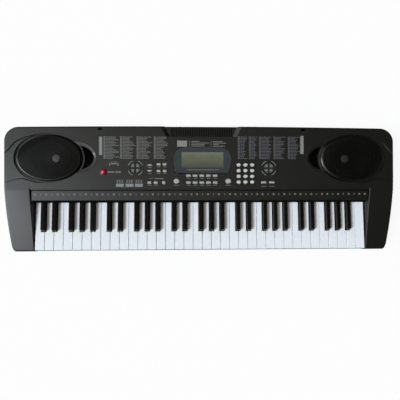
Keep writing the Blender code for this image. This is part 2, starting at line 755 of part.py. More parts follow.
def cap(outline, low, high):
    """A button's cap, with its top edge chamfered."""
    bm = bmesh.new()
    bm.from_mesh(plate(outline, low, high))
    bm.normal_update()
    rim = [edge for edge in bm.edges if is_rim(edge, 1)]
    bmesh.ops.bevel(bm, geom=rim, offset=BUTTON_CHAMFER, segments=1, profile=0.5, affect="EDGES", material=-1)
    return finished(bm)


def button_group(name, buttons):
    """Buttons moulded on one web under the panel, which they push down together."""
    web_top = -WALL - WEB_GAP
    web_low = web_top - WEB_THICKNESS
    xs = [x for outline, _ in buttons for x, _ in outline]
    ys = [y for outline, _ in buttons for _, y in outline]
    centre = ((min(xs) + max(xs)) / 2, (min(ys) + max(ys)) / 2)
    size = (max(xs) - min(xs) + 2 * WEB_MARGIN, max(ys) - min(ys) + 2 * WEB_MARGIN)
    web = plate(rounded(centre, size, BUTTON_CORNER), web_low, web_top)
    caps = [cap(outline, web_low + WEB_THICKNESS / 2, height) for outline, height in buttons]
    finish = {"power_button": POWER_RED, "drum_pads_left": PAD_GREY, "drum_pads_right": PAD_GREY}
    mesh = merged([web, *caps])
    thing = part(name, mesh, finish.get(name, BUTTON_GREY), PANEL, (*centre, 0))
    if name.startswith("drum_pads"):
        cross = collection(name + "_cross", hidden=True)
        cutter("pad_groove", pad_cross(*centre), cross, PANEL)
        boolean(thing, "DIFFERENCE", cross)
    return thing


def pad_cross(x, y):
    """The crossed grooves that part a drum pad into quarters."""
    reach, half = PAD_RADIUS + REACH, PAD_GROOVE / 2
    groove = (PAD_HEIGHT - PAD_GROOVE_DEPTH, PAD_HEIGHT + REACH)
    across = block((x - reach, x + reach), (y - half, y + half), groove)
    along = block((x - half, x + half), (y - reach, y + reach), groove)
    return merged([across, along])


def bottom_case():
    """The lower shell: a tray with a low front rim, feet, screw posts, battery bay and socket holes."""
    bm = bmesh.new()
    bm.from_mesh(plate(case_outline(), FOOT_HEIGHT, SPLIT_HEIGHT))
    bm.normal_update()
    rim = [edge for edge in bm.edges if is_rim(edge, -1)]
    bmesh.ops.bevel(bm, geom=rim, offset=BOTTOM_FILLET, segments=2, profile=0.5, affect="EDGES", material=-1)
    thing = part("bottom_case", finished(bm), CHARCOAL)

    hollow = collection("bottom_case_hollow", hidden=True)
    kept = collection("bottom_case_kept", hidden=True)
    bm = bmesh.new()
    bm.from_mesh(plate(offset(case_outline(), -WALL), FLOOR_TOP, SPLIT_HEIGHT + REACH))
    bm.normal_update()
    rim = [edge for edge in bm.edges if is_rim(edge, -1)]
    inner_fillet = BOTTOM_FILLET - WALL
    bmesh.ops.bevel(bm, geom=rim, offset=inner_fillet, segments=2, profile=0.5, affect="EDGES", material=-1)
    cavity = cutter("case_cavity", finished(bm), hollow)
    cutter("bay_walls", bay_block(BAY_WALL, FOOT_HEIGHT, BAY_TOP + BAY_WALL), kept)
    seat = bay_block(LID_OVERLAP + BAY_WALL, FOOT_HEIGHT, FOOT_HEIGHT + LID_THICKNESS + 2 * BAY_WALL)
    cutter("lid_seat", seat, kept)
    for x, y in boss_places():
        post = cylinder((x, y, 0), BOSS_RADIUS, FOOT_HEIGHT + WALL / 2, SPLIT_HEIGHT - BOSS_GAP, POST_SIDES)
        cutter("screw_post", post, kept)
    boolean(cavity, "DIFFERENCE", kept)
    boolean(thing, "DIFFERENCE", hollow)

    raised = collection("bottom_case_raised", hidden=True)
    for x, y in foot_places():
        cutter("foot", cylinder((x, y, 0), FOOT_RADIUS, 0, FOOT_HEIGHT + WALL / 2, HOLE_SIDES), raised)
    boolean(thing, "UNION", raised)

    cuts = collection("bottom_case_cuts", hidden=True)
    rim_cut = ((FRONT - REACH, KEY_FRONT + REACH), (RIM_HEIGHT, SPLIT_HEIGHT + REACH))
    cutter("rim_cut", block((-WELL_HALF, WELL_HALF), *rim_cut), cuts)
    cutter("bay", bay_block(0, -REACH, BAY_TOP), cuts)
    cutter("lid_opening", bay_block(LID_OVERLAP, -REACH, FOOT_HEIGHT + LID_THICKNESS + LID_GAP), cuts)
    for x, y in boss_places():
        hole = cylinder((x, y, 0), BOSS_HOLE_RADIUS, -REACH, FOOT_HEIGHT + BOSS_HOLE_DEPTH, POST_SIDES)
        cutter("screw_hole", hole, cuts)
    for x, bore, _ in sockets():
        radius = bore / 2 + SOCKET_WALL + SOCKET_GAP
        hole = cylinder((x, 0, SOCKET_HEIGHT), radius, REAR_WALL_INSIDE - WALL, REAR + REACH, HOLE_SIDES, "Y")
        cutter("socket_hole", hole, cuts)
    boolean(thing, "DIFFERENCE", cuts)
    return thing


def bay_block(margin, low, high):
    """A box round the battery bay, larger on each side by margin."""
    half = BAY_WIDTH / 2 + margin
    depth = BAY_DEPTH / 2 + margin
    return block((-half, half), (BAY_CENTRE - depth, BAY_CENTRE + depth), (low, high))


def boss_places():
    """The screw posts: along the back, and one in each cheek."""
    back = REAR_WALL_INSIDE - BOSS_FROM_REAR
    rear = grid(0, BOSS_PITCH, BOSS_COUNT, back)
    cheeks = [(side * (HALF_WIDTH - BOSS_FROM_END), FRONT + BOSS_FROM_FRONT) for side in (-1, 1)]
    return rear + cheeks


def foot_places():
    """Three feet along the front and three along the back."""
    end = HALF_WIDTH - FOOT_FROM_END
    rows = (FRONT + FOOT_FROM_EDGE, REAR - FOOT_FROM_EDGE)
    return [(x, y) for y in rows for x in (-end, 0, end)]


def battery_lid():
    """The lid of the battery bay. It swings down from its front edge."""
    half = BAY_WIDTH / 2 + LID_OVERLAP - LID_GAP
    depth = BAY_DEPTH / 2 + LID_OVERLAP - LID_GAP
    low, high = FOOT_HEIGHT, FOOT_HEIGHT + LID_THICKNESS
    mesh = block((-half, half), (BAY_CENTRE - depth, BAY_CENTRE + depth), (low, high))
    return part("battery_cover", mesh, CHARCOAL, None, (0, BAY_CENTRE - depth, low))


def key_frame():
    """The tray under the keys, with the rail that they hinge on and a guide post under each white key."""
    half = WELL_HALF - KEY_END_GAP
    front = KEY_FRONT + FRAME_FRONT_INSET
    rail_back = RAIL_FRONT + RAIL_DEPTH
    low = FRAME_TOP - FRAME_THICKNESS
    floor = block((-half, half), (front, rail_back), (low, FRAME_TOP))
    rail_top = KEY_TOP - KEY_TAIL_HEIGHT - RAIL_GAP
    rail = block((-half, half), (RAIL_FRONT, rail_back), (low, rail_top))
    pieces = [floor, rail]
    guide = KEY_FRONT + GUIDE_FROM_FRONT
    guide_top = KEY_TOP - KEY_WALL - KEY_TRAVEL - GUIDE_CLEAR
    for index in range(WHITE_COUNT):
        x = white_centre(index)
        across = (x - GUIDE_WIDTH / 2, x + GUIDE_WIDTH / 2)
        pieces.append(block(across, (guide, guide + GUIDE_DEPTH), (low + FRAME_THICKNESS / 2, guide_top)))
    return part("key_frame", merged(pieces), FRAME_GREY)


def white_centre(index):
    return (index - (WHITE_COUNT - 1) / 2) * KEY_PITCH


def black_edges(index):
    """How far a white key's tail is cut in at its left and right, beside the black keys."""
    place = index % WHITES_PER_OCTAVE
    clear = BLACK_BASE_WIDTH / 2 + BLACK_SIDE_GAP
    shifts = dict(BLACK_KEYS)
    last = index == WHITE_COUNT - 1
    left = shifts[place] + clear if place in shifts else KEY_GAP / 2
    right = clear - shifts[place + 1] if place + 1 in shifts and not last else KEY_GAP / 2
    return left, right


def white_key(index, name):
    """A hollow key, wide in front of the black keys, and narrow and shallower towards its hinge."""
    left_cut, right_cut = black_edges(index)
    head = KEY_PITCH / 2 - KEY_GAP / 2
    tail_left = -KEY_PITCH / 2 + left_cut
    tail_right = KEY_PITCH / 2 - right_cut
    shoulder = KEY_FRONT + KEY_SHOWN - BLACK_SHOWN - BLACK_SIDE_GAP - KEY_PIVOT
    front = KEY_FRONT - KEY_PIVOT
    outline = [(-head, front), (head, front)]
    if right_cut > KEY_GAP:
        outline.append((head, shoulder))
        outline.append((tail_right, shoulder))
    level = TAIL_LEVEL - KEY_PIVOT
    outline.append((tail_right, level))
    outline.append((tail_right, KEY_END_BEHIND_PIVOT))
    outline.append((tail_left, KEY_END_BEHIND_PIVOT))
    outline.append((tail_left, level))
    if left_cut > KEY_GAP:
        outline.append((tail_left, shoulder))
        outline.append((-head, shoulder))
    bm = bmesh.new()
    top = bm.faces.new([bm.verts.new((x, y, KEY_PIVOT_DROP)) for x, y in outline])
    skirt = bmesh.ops.extrude_edge_only(bm, edges=list(top.edges))
    for item in skirt["geom"]:
        if isinstance(item, bmesh.types.BMVert):
            share = min(1, max(0, (item.co.y - shoulder) / (level - shoulder)))
            item.co.z -= KEY_SKIRT + (KEY_TAIL_HEIGHT - KEY_SKIRT) * share
    bmesh.ops.recalc_face_normals(bm, faces=bm.faces)
    if top.normal.z < 0:
        bmesh.ops.reverse_faces(bm, faces=bm.faces)
    mesh = bpy.data.meshes.new(name)
    bm.to_mesh(mesh)
    bm.free()
    origin = (white_centre(index), KEY_PIVOT, KEY_PIVOT_HEIGHT)
    thing = part(name, mesh, KEY_WHITE)
    thing.location = origin
    shell = thing.modifiers.new("shell", "SOLIDIFY")
    shell.thickness = KEY_WALL
    shell.offset = -1
    shell.use_even_offset = True
    return thing


def black_comb(octave):
    """The five black keys of an octave, which share a bar over the white keys' tails."""
    first = white_centre(octave * WHITES_PER_OCTAVE) - KEY_PITCH / 2
    front = KEY_FRONT + KEY_SHOWN - BLACK_SHOWN
    back = KEY_BACK
    top = KEY_TOP + BLACK_RISE
    low = KEY_TOP - BLACK_SKIRT
    tail_top = KEY_TOP + BLACK_TAIL_RISE
    step = KEY_FRONT + KEY_SHOWN + KEY_TO_STRIP + REACH
    tail_low = KEY_TOP - KEY_TAIL_HEIGHT
    side = [
        (front, low),
        (step, low),
        (TAIL_LEVEL, tail_low),
        (back, tail_low),
        (back, tail_top),
        (step + BLACK_RISE, tail_top),
        (step, top),
        (front + BLACK_NOSE_SLOPE, top),
        (front, KEY_TOP),
    ]
    bar_front = back - COMB_BAR_LENGTH
    inside = [
        (front + BLACK_NOSE_SLOPE + BLACK_WALL, low - REACH),
        (bar_front - BLACK_WALL, low - REACH),
        (bar_front - BLACK_WALL, tail_top - BLACK_WALL),
        (step, tail_top - BLACK_WALL),
        (step - BLACK_WALL, top - BLACK_WALL),
        (front + BLACK_NOSE_SLOPE + BLACK_WALL, top - BLACK_WALL),
    ]
    half_base, half_top = BLACK_BASE_WIDTH / 2, BLACK_TOP_WIDTH / 2
    keys, hollows, centres = [], [], []
    for joint, shift in BLACK_KEYS:
        x = first + joint * KEY_PITCH + shift
        bm = bmesh.new()
        bm.from_mesh(plate(side, -half_base, half_base))
        bmesh.ops.transform(bm, verts=bm.verts, matrix=STAND)
        for vert in bm.verts:
            narrow = max(0, (vert.co.z - KEY_TOP) / BLACK_RISE)
            vert.co.x = math.copysign(half_base + (half_top - half_base) * narrow, vert.co.x) + x
        keys.append(finished(bm))
        inner = half_top - BLACK_WALL
        hollow = plate(inside, x - inner, x + inner)
        hollow.transform(STAND)
        hollows.append(hollow)
        centres.append(x)
    bar_low = KEY_TOP + COMB_BAR_GAP
    reach = half_top / 2
    bar = block(
        (centres[0] - reach, centres[-1] + reach),
        (bar_front, back - KEY_WALL),
        (bar_low, bar_low + COMB_BAR_HEIGHT),
    )
    name = "black_keys_octave_%d" % (octave + 1)
    middle = (centres[0] + centres[-1]) / 2
    thing = part(name, merged([bar, *keys]), BLACK_PLASTIC, None, (middle, KEY_PIVOT, KEY_PIVOT_HEIGHT))
    cuts = collection(name + "_hollows", hidden=True)
    for mesh in hollows:
        cutter("key_hollow", mesh, cuts)
    boolean(thing, "DIFFERENCE", cuts)
    return thing


def note_strip():
    """The bar between the keys and the panel. Its top falls towards the keys."""
    half = WELL_HALF + PANEL_RISE / 2 * math.tan(WELL_DRAFT) - STRIP_END_GAP
    back = STRIP_FRONT + STRIP_DEPTH
    back_top = PANEL_FRONT_HEIGHT - STRIP_GAP
    front_top = back_top - STRIP_FALL
    side = [
        (STRIP_FRONT, front_top - STRIP_THICKNESS),
        (back, back_top - STRIP_THICKNESS),
        (back, back_top),
        (STRIP_FRONT + BUTTON_CHAMFER, front_top),
        (STRIP_FRONT, front_top - BUTTON_CHAMFER),
    ]
    mesh = plate(side, -half, half)
    mesh.transform(STAND)
    return part("note_strip", mesh, CHARCOAL)


def dome_profile(radius, low, high):
    """Points from the top of a flattened dome down to its edge."""
    angles = [math.pi / 2 * (1 - i / DOME_RINGS) for i in range(DOME_RINGS + 1)]
    return [(radius * max(0, math.cos(a) - WELD), low + (high - low) * math.sin(a)) for a in angles]


def speaker(side, name):
    """The grille in its pod and the driver under it."""
    half_width = POD_HALF_WIDTH - POD_RIM_WIDTH - GRILLE_GAP
    half_depth = POD_HALF_DEPTH - POD_RIM_WIDTH - GRILLE_GAP
    seat = GRILLE_GAP - POD_LEDGE_DEPTH
    outer = dome_profile(half_width, GRILLE_EDGE, GRILLE_DOME)
    inner = dome_profile(half_width - GRILLE_THICKNESS, seat, GRILLE_DOME - GRILLE_THICKNESS)
    dome = turned([*outer, (half_width, seat), *reversed(inner)], POD_SIDES)
    squeeze = Matrix.Diagonal((1, half_depth / half_width, 1, 1))
    place = Matrix.Translation((side * POD_X, POD_UP, 0))
    dome.transform(place @ squeeze)
    part("speaker_grille_" + name, dome, GRILLE_BLACK, PANEL)

    under = -WALL - GRILLE_GAP
    lowest = under - DRIVER_DEPTH
    basket = [
        (0, under - CONE_DEPTH),
        (CONE_FLOOR_RADIUS, under - CONE_DEPTH),
        (CONE_RADIUS, under),
        (DRIVER_RADIUS, under),
        (DRIVER_RADIUS, under - DRIVER_FLANGE),
        (MAGNET_RADIUS, lowest + MAGNET_HEIGHT),
        (MAGNET_RADIUS, lowest),
        (0, lowest),
    ]
    driver = turned(basket, DRIVER_SIDES)
    driver.transform(place)
    part("speaker_" + name, driver, SPEAKER_GREY, PANEL)


def lcd_window():
    """The tinted window over the display, let into the panel."""
    lens = plate(lens_outline(), -LENS_INSET, LENS_THICKNESS - LENS_INSET)
    return part("lcd_window", lens, LENS_BLUE, PANEL)


def panel_board():
    """The board under the buttons, with the display standing on it."""
    top = -WALL - WEB_GAP - WEB_THICKNESS - BUTTON_TRAVEL - BOARD_GAP
    corners = [corner for buttons in BUTTONS.values() for outline, _ in buttons for corner in outline]
    across = (min(x for x, _ in corners) - BOARD_MARGIN, max(x for x, _ in corners) + BOARD_MARGIN)
    far = max(WINDOW_UP + WINDOW_HALF_DEPTH, max(y for _, y in corners)) + BOARD_MARGIN
    near = min(y for _, y in corners) - BOARD_MARGIN
    board = block(across, (near, far), (top - BOARD_THICKNESS, top))
    half_width = WINDOW_HALF_WIDTH - DISPLAY_GAP
    half_depth = WINDOW_HALF_DEPTH - DISPLAY_GAP
    depth = (WINDOW_UP - half_depth, WINDOW_UP + half_depth)
    height = (top - BOARD_THICKNESS / 2, -LENS_INSET - DISPLAY_BELOW)
    display = block((-half_width, half_width), depth, height)
    return part("panel_board", merged([board, display]), BOARD_GREEN, PANEL)


def sockets():
    """The sockets from the middle outwards, as (x, bore, depth): phones, microphone and power inlet."""
    kinds = ((JACK_BORE, JACK_BORE_DEPTH), (JACK_BORE, JACK_BORE_DEPTH), (INLET_BORE, INLET_DEPTH))
    return [(MAIN_BOARD_X + JACK_PITCH * (1 - i), *kind) for i, kind in enumerate(kinds)]


def main_board():
    """The board at the back, with its sockets. Each socket's nose lies in its hole in the case."""
    edge = REAR_WALL_INSIDE - WALL
    front = edge - MAIN_BOARD_DEPTH
    low = MAIN_BOARD_HEIGHT
    top = low + BOARD_THICKNESS
    middle = low + BOARD_THICKNESS / 2
    board_half, chip_half, jack_half = MAIN_BOARD_WIDTH / 2, CHIP_WIDTH / 2, JACK_HEIGHT / 2
    board = block((MAIN_BOARD_X - board_half, MAIN_BOARD_X + board_half), (front, edge), (low, top))
    chip_depth = (front + chip_half, front + chip_half + CHIP_WIDTH)
    chip_across = (MAIN_BOARD_X - chip_half, MAIN_BOARD_X + chip_half)
    chip = block(chip_across, chip_depth, (middle, top + CHIP_HEIGHT))
    solids, bores = [board, chip], []
    for x, bore, depth in sockets():
        centre = (x, 0, SOCKET_HEIGHT)
        body = block((x - jack_half, x + jack_half), (edge - JACK_LENGTH, edge), (middle, top + JACK_HEIGHT))
        nose = cylinder(centre, bore / 2 + SOCKET_WALL, edge - WALL, SOCKET_MOUTH, HOLE_SIDES, "Y")
        bores.append(cylinder(centre, bore / 2, SOCKET_MOUTH - depth, SOCKET_MOUTH + REACH, HOLE_SIDES, "Y"))
        solids += [body, nose]
    thing = part("main_board", merged(solids), BOARD_GREEN)
    cuts = collection("main_board_cuts", hidden=True)
    for mesh in bores:
        cutter("socket_bore", mesh, cuts)
    boolean(thing, "DIFFERENCE", cuts)
    pins = collection("main_board_pin", hidden=True)
    x, _, depth = sockets()[-1]
    root, tip = SOCKET_MOUTH - depth - WALL, SOCKET_MOUTH - WALL
    cutter("inlet_pin", cylinder((x, 0, SOCKET_HEIGHT), INLET_PIN / 2, root, tip, POST_SIDES, "Y"), pins)
    boolean(thing, "UNION", pins)
    return thing


clear_scene()
WORKSHOP = bpy.data.scenes.new("workshop")
KEYBOARD = collection("portable_keyboard")
PANEL = bpy.data.objects.new("panel", None)
PANEL.location = (0, PANEL_FRONT, PANEL_FRONT_HEIGHT)
PANEL.rotation_euler = (PANEL_SLOPE, 0, 0)
bpy.context.scene.collection.objects.link(PANEL)
BUTTONS = button_layout()

for index in range(WHITE_COUNT):
    letter = "cdefgab"[index % WHITES_PER_OCTAVE]
    white_key(index, "white_key_%s%d" % (letter, 2 + index // WHITES_PER_OCTAVE))
for octave in range(OCTAVES):
    black_comb(octave)
key_frame()
for group_name, group_buttons in BUTTONS.items():
    button_group(group_name, group_buttons)
for speaker_side, speaker_name in ((-1, "left"), (1, "right")):
    speaker(speaker_side, speaker_name)
lcd_window()
panel_board()
main_board()
note_strip()
battery_lid()
bottom_case()
top_case()
bpy.data.scenes.remove(WORKSHOP)
bpy.context.view_layer.update()
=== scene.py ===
import math
import random

import bmesh
import bpy
from mathutils import Matrix, Vector


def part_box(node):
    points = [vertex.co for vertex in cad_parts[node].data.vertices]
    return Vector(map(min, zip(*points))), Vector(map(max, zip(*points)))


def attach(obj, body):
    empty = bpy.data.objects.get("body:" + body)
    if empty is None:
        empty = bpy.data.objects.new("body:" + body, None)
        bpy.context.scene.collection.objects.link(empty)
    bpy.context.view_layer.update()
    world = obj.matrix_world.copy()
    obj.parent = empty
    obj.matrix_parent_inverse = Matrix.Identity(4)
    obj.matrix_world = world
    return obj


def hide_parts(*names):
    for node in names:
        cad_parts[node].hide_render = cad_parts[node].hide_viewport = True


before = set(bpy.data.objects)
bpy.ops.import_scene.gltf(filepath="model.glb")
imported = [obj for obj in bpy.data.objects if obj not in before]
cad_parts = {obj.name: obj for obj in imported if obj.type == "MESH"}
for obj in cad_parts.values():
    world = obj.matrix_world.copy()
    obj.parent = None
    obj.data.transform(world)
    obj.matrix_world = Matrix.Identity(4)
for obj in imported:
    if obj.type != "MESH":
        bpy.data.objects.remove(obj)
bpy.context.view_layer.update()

# Camera and light
# The camera stands almost straight above the keys. Cool daylight comes from a high window at the left,
# with softer and warmer light from the rest of a dim room, over a plain pale floor.
scene = bpy.context.scene
scene.view_settings.view_transform = "Standard"

camera = bpy.data.objects.new("camera", bpy.data.cameras.new("camera"))
camera.data.sensor_width = 36
camera.data.lens = 32.4
camera.location = (-0.03803, -0.09286, 0.94667)
camera.rotation_euler = (0.0748, -0.0364, -0.0051)
scene.collection.objects.link(camera)
scene.camera = camera


def daylight(name, direction, spread, strength, colour):
    """Even light from far away, which comes from a direction and is spread over an angle."""
    light = bpy.data.lights.new(name, "SUN")
    light.angle = math.radians(spread)
    light.energy = strength
    light.color = colour
    holder = bpy.data.objects.new(name, light)
    holder.location = Vector(direction) * 2
    holder.rotation_euler = Vector(direction).to_track_quat("Z", "Y").to_euler()
    scene.collection.objects.link(holder)


daylight("window", (-0.655, -0.19, 0.73), 20, 2.8, (0.86, 0.94, 1.0))
daylight("sky", (-0.22, -0.06, 0.97), 60, 0.42, (1.0, 0.97, 0.88))
daylight("far_window", (-0.60, -0.45, 0.50), 60, 0.70, (1.0, 0.92, 0.78))
daylight("back_window", (-0.72, 0.62, 0.31), 30, 0.55, (1.0, 0.97, 0.93))


class Value:
    """A shader value. Python's operators on it add the Math nodes."""

    def __init__(self, finish, socket):
        self.finish = finish
        self.socket = socket

    def maths(self, operation, *inputs):
        return self.finish.node("ShaderNodeMath", {"operation": operation}, dict(enumerate(inputs)))

    def __add__(self, other):
        return self.maths("ADD", self, other)

    def __radd__(self, other):
        return self.maths("ADD", other, self)

    def __sub__(self, other):
        return self.maths("SUBTRACT", self, other)

    def __mul__(self, other):
        return self.maths("MULTIPLY", self, other)


class Finish:
    """A material in the making: its Principled shader, and the nodes that vary it over the surface."""

    def __init__(self, name, colour, roughness, constants=None):
        self.material = bpy.data.materials.new(name)
        self.material.use_nodes = True
        self.nodes = self.material.node_tree.nodes
        self.links = self.material.node_tree.links
        self.shader = self.nodes["Principled BSDF"]
        self.place = self.node("ShaderNodeTexCoord", output="Object")
        self.vary({"Base Color": (*colour, 1), "Roughness": roughness, **(constants or {})})

    def node(self, kind, settings=None, inputs=None, output=0):
        made = self.nodes.new(kind)
        for name, value in (settings or {}).items():
            setattr(made, name, value)
        self.feed(made, inputs or {})
        return Value(self, made.outputs[output])

    def feed(self, node, inputs):
        for name, value in inputs.items():
            if isinstance(value, Value):
                self.links.new(value.socket, node.inputs[name])
            else:
                node.inputs[name].default_value = value

    def vary(self, inputs):
        self.feed(self.shader, inputs)

    def noise(self, scale, detail):
        inputs = {"Vector": self.place, "Scale": scale, "Detail": detail}
        return self.node("ShaderNodeTexNoise", inputs=inputs)

    def mix(self, factor, first, second):
        return self.node("ShaderNodeMix", {"data_type": "RGBA"}, {0: factor, 6: first, 7: second}, 2)

    def bump(self, height, distance):
        self.vary({"Normal": self.node("ShaderNodeBump", inputs={"Height": height, "Distance": distance})})


floor_size, floor_drop, floor_glow = 6, 0.0004, 0.9
floor_finish = Finish("pale_floor", (0.86, 0.86, 0.86), 0.9)
lit = Value(floor_finish, floor_finish.shader.outputs["BSDF"])
glow = floor_finish.node("ShaderNodeEmission", inputs={"Strength": 1.0})
seen = floor_finish.node("ShaderNodeLightPath", output="Is Camera Ray")
bright = floor_finish.node("ShaderNodeMixShader", inputs={0: seen * floor_glow, 1: lit, 2: glow})
floor_finish.feed(floor_finish.nodes["Material Output"], {"Surface": bright})
floor_mesh = bmesh.new()
below = Matrix.Translation((0, 0, -floor_drop))
bmesh.ops.create_grid(floor_mesh, x_segments=1, y_segments=1, size=floor_size, matrix=below)
floor = bpy.data.objects.new("floor", bpy.data.meshes.new("floor"))
floor_mesh.to_mesh(floor.data)
floor_mesh.free()
floor.data.materials.append(floor_finish.material)
scene.collection.objects.link(floor)

room = bpy.data.worlds.new("room")
room.use_nodes = True
scene.world = room
sky = room.node_tree.nodes["Background"]
path = room.node_tree.nodes.new("ShaderNodeLightPath")
level = room.node_tree.nodes.new("ShaderNodeMix")
level.data_type = "RGBA"
level.inputs[6].default_value = (0.084, 0.076, 0.060, 1)
level.inputs[7].default_value = (1, 1, 1, 1)
room.node_tree.links.new(path.outputs["Is Camera Ray"], level.inputs[0])
room.node_tree.links.new(level.outputs[2], sky.inputs["Color"])

# Upper shell
# The upper half of the case: two cheeks, the panel, the oval pods and the bass ports. It is one
# moulding in charcoal plastic with a fine grain, screwed to the lower shell from below.
shell_low, shell_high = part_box("top_case")
half_width, front, rear, split = shell_high.x, shell_low.y, shell_high.y, shell_low.z
strip_low, strip_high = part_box("note_strip")
panel_gap = 0.0008
panel_front = strip_high.y + panel_gap
panel_height = strip_high.z + panel_gap
panel_slope = math.radians(4)
panel = Matrix.Translation((0, panel_front, panel_height)) @ Matrix.Rotation(panel_slope, 4, "X")
last_low, last_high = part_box("white_key_c7")
key_top, key_front, key_back = last_high.z, last_low.y, last_high.y
key_gap, well_gap = 0.0009, 0.0014
well_half = last_high.x + key_gap / 2 + well_gap
well_draft, chamfer = math.radians(15), 0.0013
cheek_front_height = key_top - 0.0015
rear_corner, front_corner, rear_bow = 0.034, 0.009, 0.003
taper_length, taper_inset = 0.178, 0.0145
case_fillet, wall = 0.0045, 0.0028
# Points nearer than weld are one point. A cutting shape goes past what it cuts by reach or more.
weld, reach, headroom = 0.000001, 0.004, 0.1


def toned(colour, *shares):
    """A colour made darker or lighter, once for each share."""
    return [[share * part for part in colour] for share in shares]


def clouded(name, tones, rough, clouds, grain=None, constants=None):
    """A material whose colour and roughness drift between two values each, over clouds of noise."""
    middle = [(first + second) / 2 for first, second in zip(*tones)]
    finish = Finish(name, middle, sum(rough) / 2, constants)
    drift = sum(finish.noise(scale, detail) * share for scale, detail, share in clouds)
    tint = finish.mix(drift, *[(*tone, 1) for tone in tones])
    finish.vary({"Base Color": tint, "Roughness": rough[0] + drift * (rough[1] - rough[0])})
    if grain:
        finish.bump(finish.noise(*grain[:2]), grain[2])
    return finish.material


def moulded_plastic(name, colour, roughness, grain=(1500, 1, 0.00006), gloss=0.45):
    """Moulded plastic with a fine grain, polished unevenly by hands and dust."""
    tones, rough = toned(colour, 0.86, 1.14), (roughness - 0.06, roughness + 0.06)
    return clouded(name, tones, rough, ((7, 4, 0.6), (38, 3, 0.4)), grain, {"Specular IOR Level": gloss})


def arc(centre, radius, start, end, steps):
    """Points along a circle's arc, both ends included, with its angles in degrees."""
    turns = [math.radians(start + (end - start) * i / steps) for i in range(steps + 1)]
    return [(centre[0] + radius * math.cos(a), centre[1] + radius * math.sin(a)) for a in turns]


def ellipse(centre, half_x, half_y, steps=72):
    """Points round an oval, anticlockwise."""
    turns = [2 * math.pi * i / steps for i in range(steps)]
    return [(centre[0] + half_x * math.cos(a), centre[1] + half_y * math.sin(a)) for a in turns]


def circle(centre, radius, steps):
    """Points round a circle, anticlockwise."""
    return ellipse(centre, radius, radius, steps)


def rounded(centre, size, radius, steps=4):
    """A rectangle with round corners, anticlockwise."""
    x, y = size[0] / 2 - radius, size[1] / 2 - radius
    points = []
    for i, (sx, sy) in enumerate(((1, 1), (-1, 1), (-1, -1), (1, -1))):
        points += arc((centre[0] + sx * x, centre[1] + sy * y), radius, 90 * i, 90 * i + 90, steps)
    return points


def case_outline():
    """The case from above, anticlockwise: bowed back, round rear corners and a tapered front."""
    taper_radius = (taper_length ** 2 + taper_inset ** 2) / (2 * taper_inset)
    taper_turn = math.degrees(math.asin(taper_length / taper_radius))
    corner = (half_width - taper_inset - front_corner, front + front_corner)
    right = arc(corner, front_corner, -90, -taper_turn, 6)
    side = (half_width - taper_radius, front + taper_length)
    right += arc(side, taper_radius, -taper_turn, 0, 14)[1:]
    corner = (half_width - rear_corner, rear - rear_bow - rear_corner)
    right += arc(corner, rear_corner, 0, 90, 16)
    shares = [1 - i / 8 for i in range(1, 8)]
    right += [(corner[0] * share, rear - rear_bow * share ** 2) for share in shares]
    return right + [(0, rear)] + [(-x, y) for x, y in reversed(right)]


def offset(points, distance):
    """An anticlockwise outline moved out by distance, or in where it is negative."""
    moved = []
    for i, (x, y) in enumerate(points):
        before, after = points[i - 1], points[(i + 1) % len(points)]
        first = math.atan2(y - before[1], x - before[0]) - math.pi / 2
        second = math.atan2(after[1] - y, after[0] - x) - math.pi / 2
        bend = math.remainder(second - first, 2 * math.pi) / 2
        length = distance / math.cos(bend)
        moved.append((x + length * math.cos(first + bend), y + length * math.sin(first + bend)))
    return moved


def prism(points, low, high):
    """A flat outline in XY that stands from low to high, as a bmesh."""
    bm = bmesh.new()
    base = bm.faces.new([bm.verts.new((x, y, low)) for x, y in points])
    raised = bmesh.ops.extrude_face_region(bm, geom=[base])
    verts = [item for item in raised["geom"] if isinstance(item, bmesh.types.BMVert)]
    bmesh.ops.translate(bm, verts=verts, vec=(0, 0, high - low))
    bmesh.ops.recalc_face_normals(bm, faces=bm.faces)
    return bm


def box(x_range, y_range, z_range):
    """A block between two corners, as a bmesh."""
    bm = bmesh.new()
    bmesh.ops.create_cube(bm, size=1)
    for axis, (low, high) in enumerate((x_range, y_range, z_range)):
        for vert in bm.verts:
            vert.co[axis] = low if vert.co[axis] < 0 else high
    return bm


def round_edges(bm, edges, radius, segments):
    """Rounds some edges of a bmesh."""
    bmesh.ops.bevel(
        bm, geom=edges, offset=radius, segments=segments, profile=0.5, affect="EDGES", material=-1
    )


def round_rim(bm, radius, segments=3, side=1):
    """Rounds the edges between upright walls and the top or, with side -1, the bottom."""
    bm.normal_update()
    edges = []
    for edge in bm.edges:
        steep = sorted(abs(face.normal.z) for face in edge.link_faces)
        facing = max((face.normal.z * side for face in edge.link_faces), default=0)
        if len(steep) == 2 and steep[0] < 0.3 and steep[1] > 0.7 and facing > 0.7:
            edges.append(edge)
    round_edges(bm, edges, radius, segments)
    return bm


def plain_mesh(bm):
    """A bmesh as a mesh, as it is."""
    mesh = bpy.data.meshes.new("mesh")
    bm.to_mesh(mesh)
    bm.free()
    return mesh


def mesh_of(bm, matrix=None):
    """A closed bmesh as a mesh, with its doubles merged and its faces pointing out."""
    if matrix is not None:
        bmesh.ops.transform(bm, verts=bm.verts, matrix=matrix)
    bmesh.ops.remove_doubles(bm, verts=bm.verts, dist=weld)
    bmesh.ops.recalc_face_normals(bm, faces=bm.faces)
    return plain_mesh(bm)


def on_panel(points, low, high):
    """An outline across and up the panel, which stands from low to high on it, as a mesh."""
    return mesh_of(prism(points, low, high), panel)


def evaluated(thing):
    """An object's shape with its modifiers, as a mesh of its own."""
    return bpy.data.meshes.new_from_object(thing.evaluated_get(bpy.context.evaluated_depsgraph_get()))


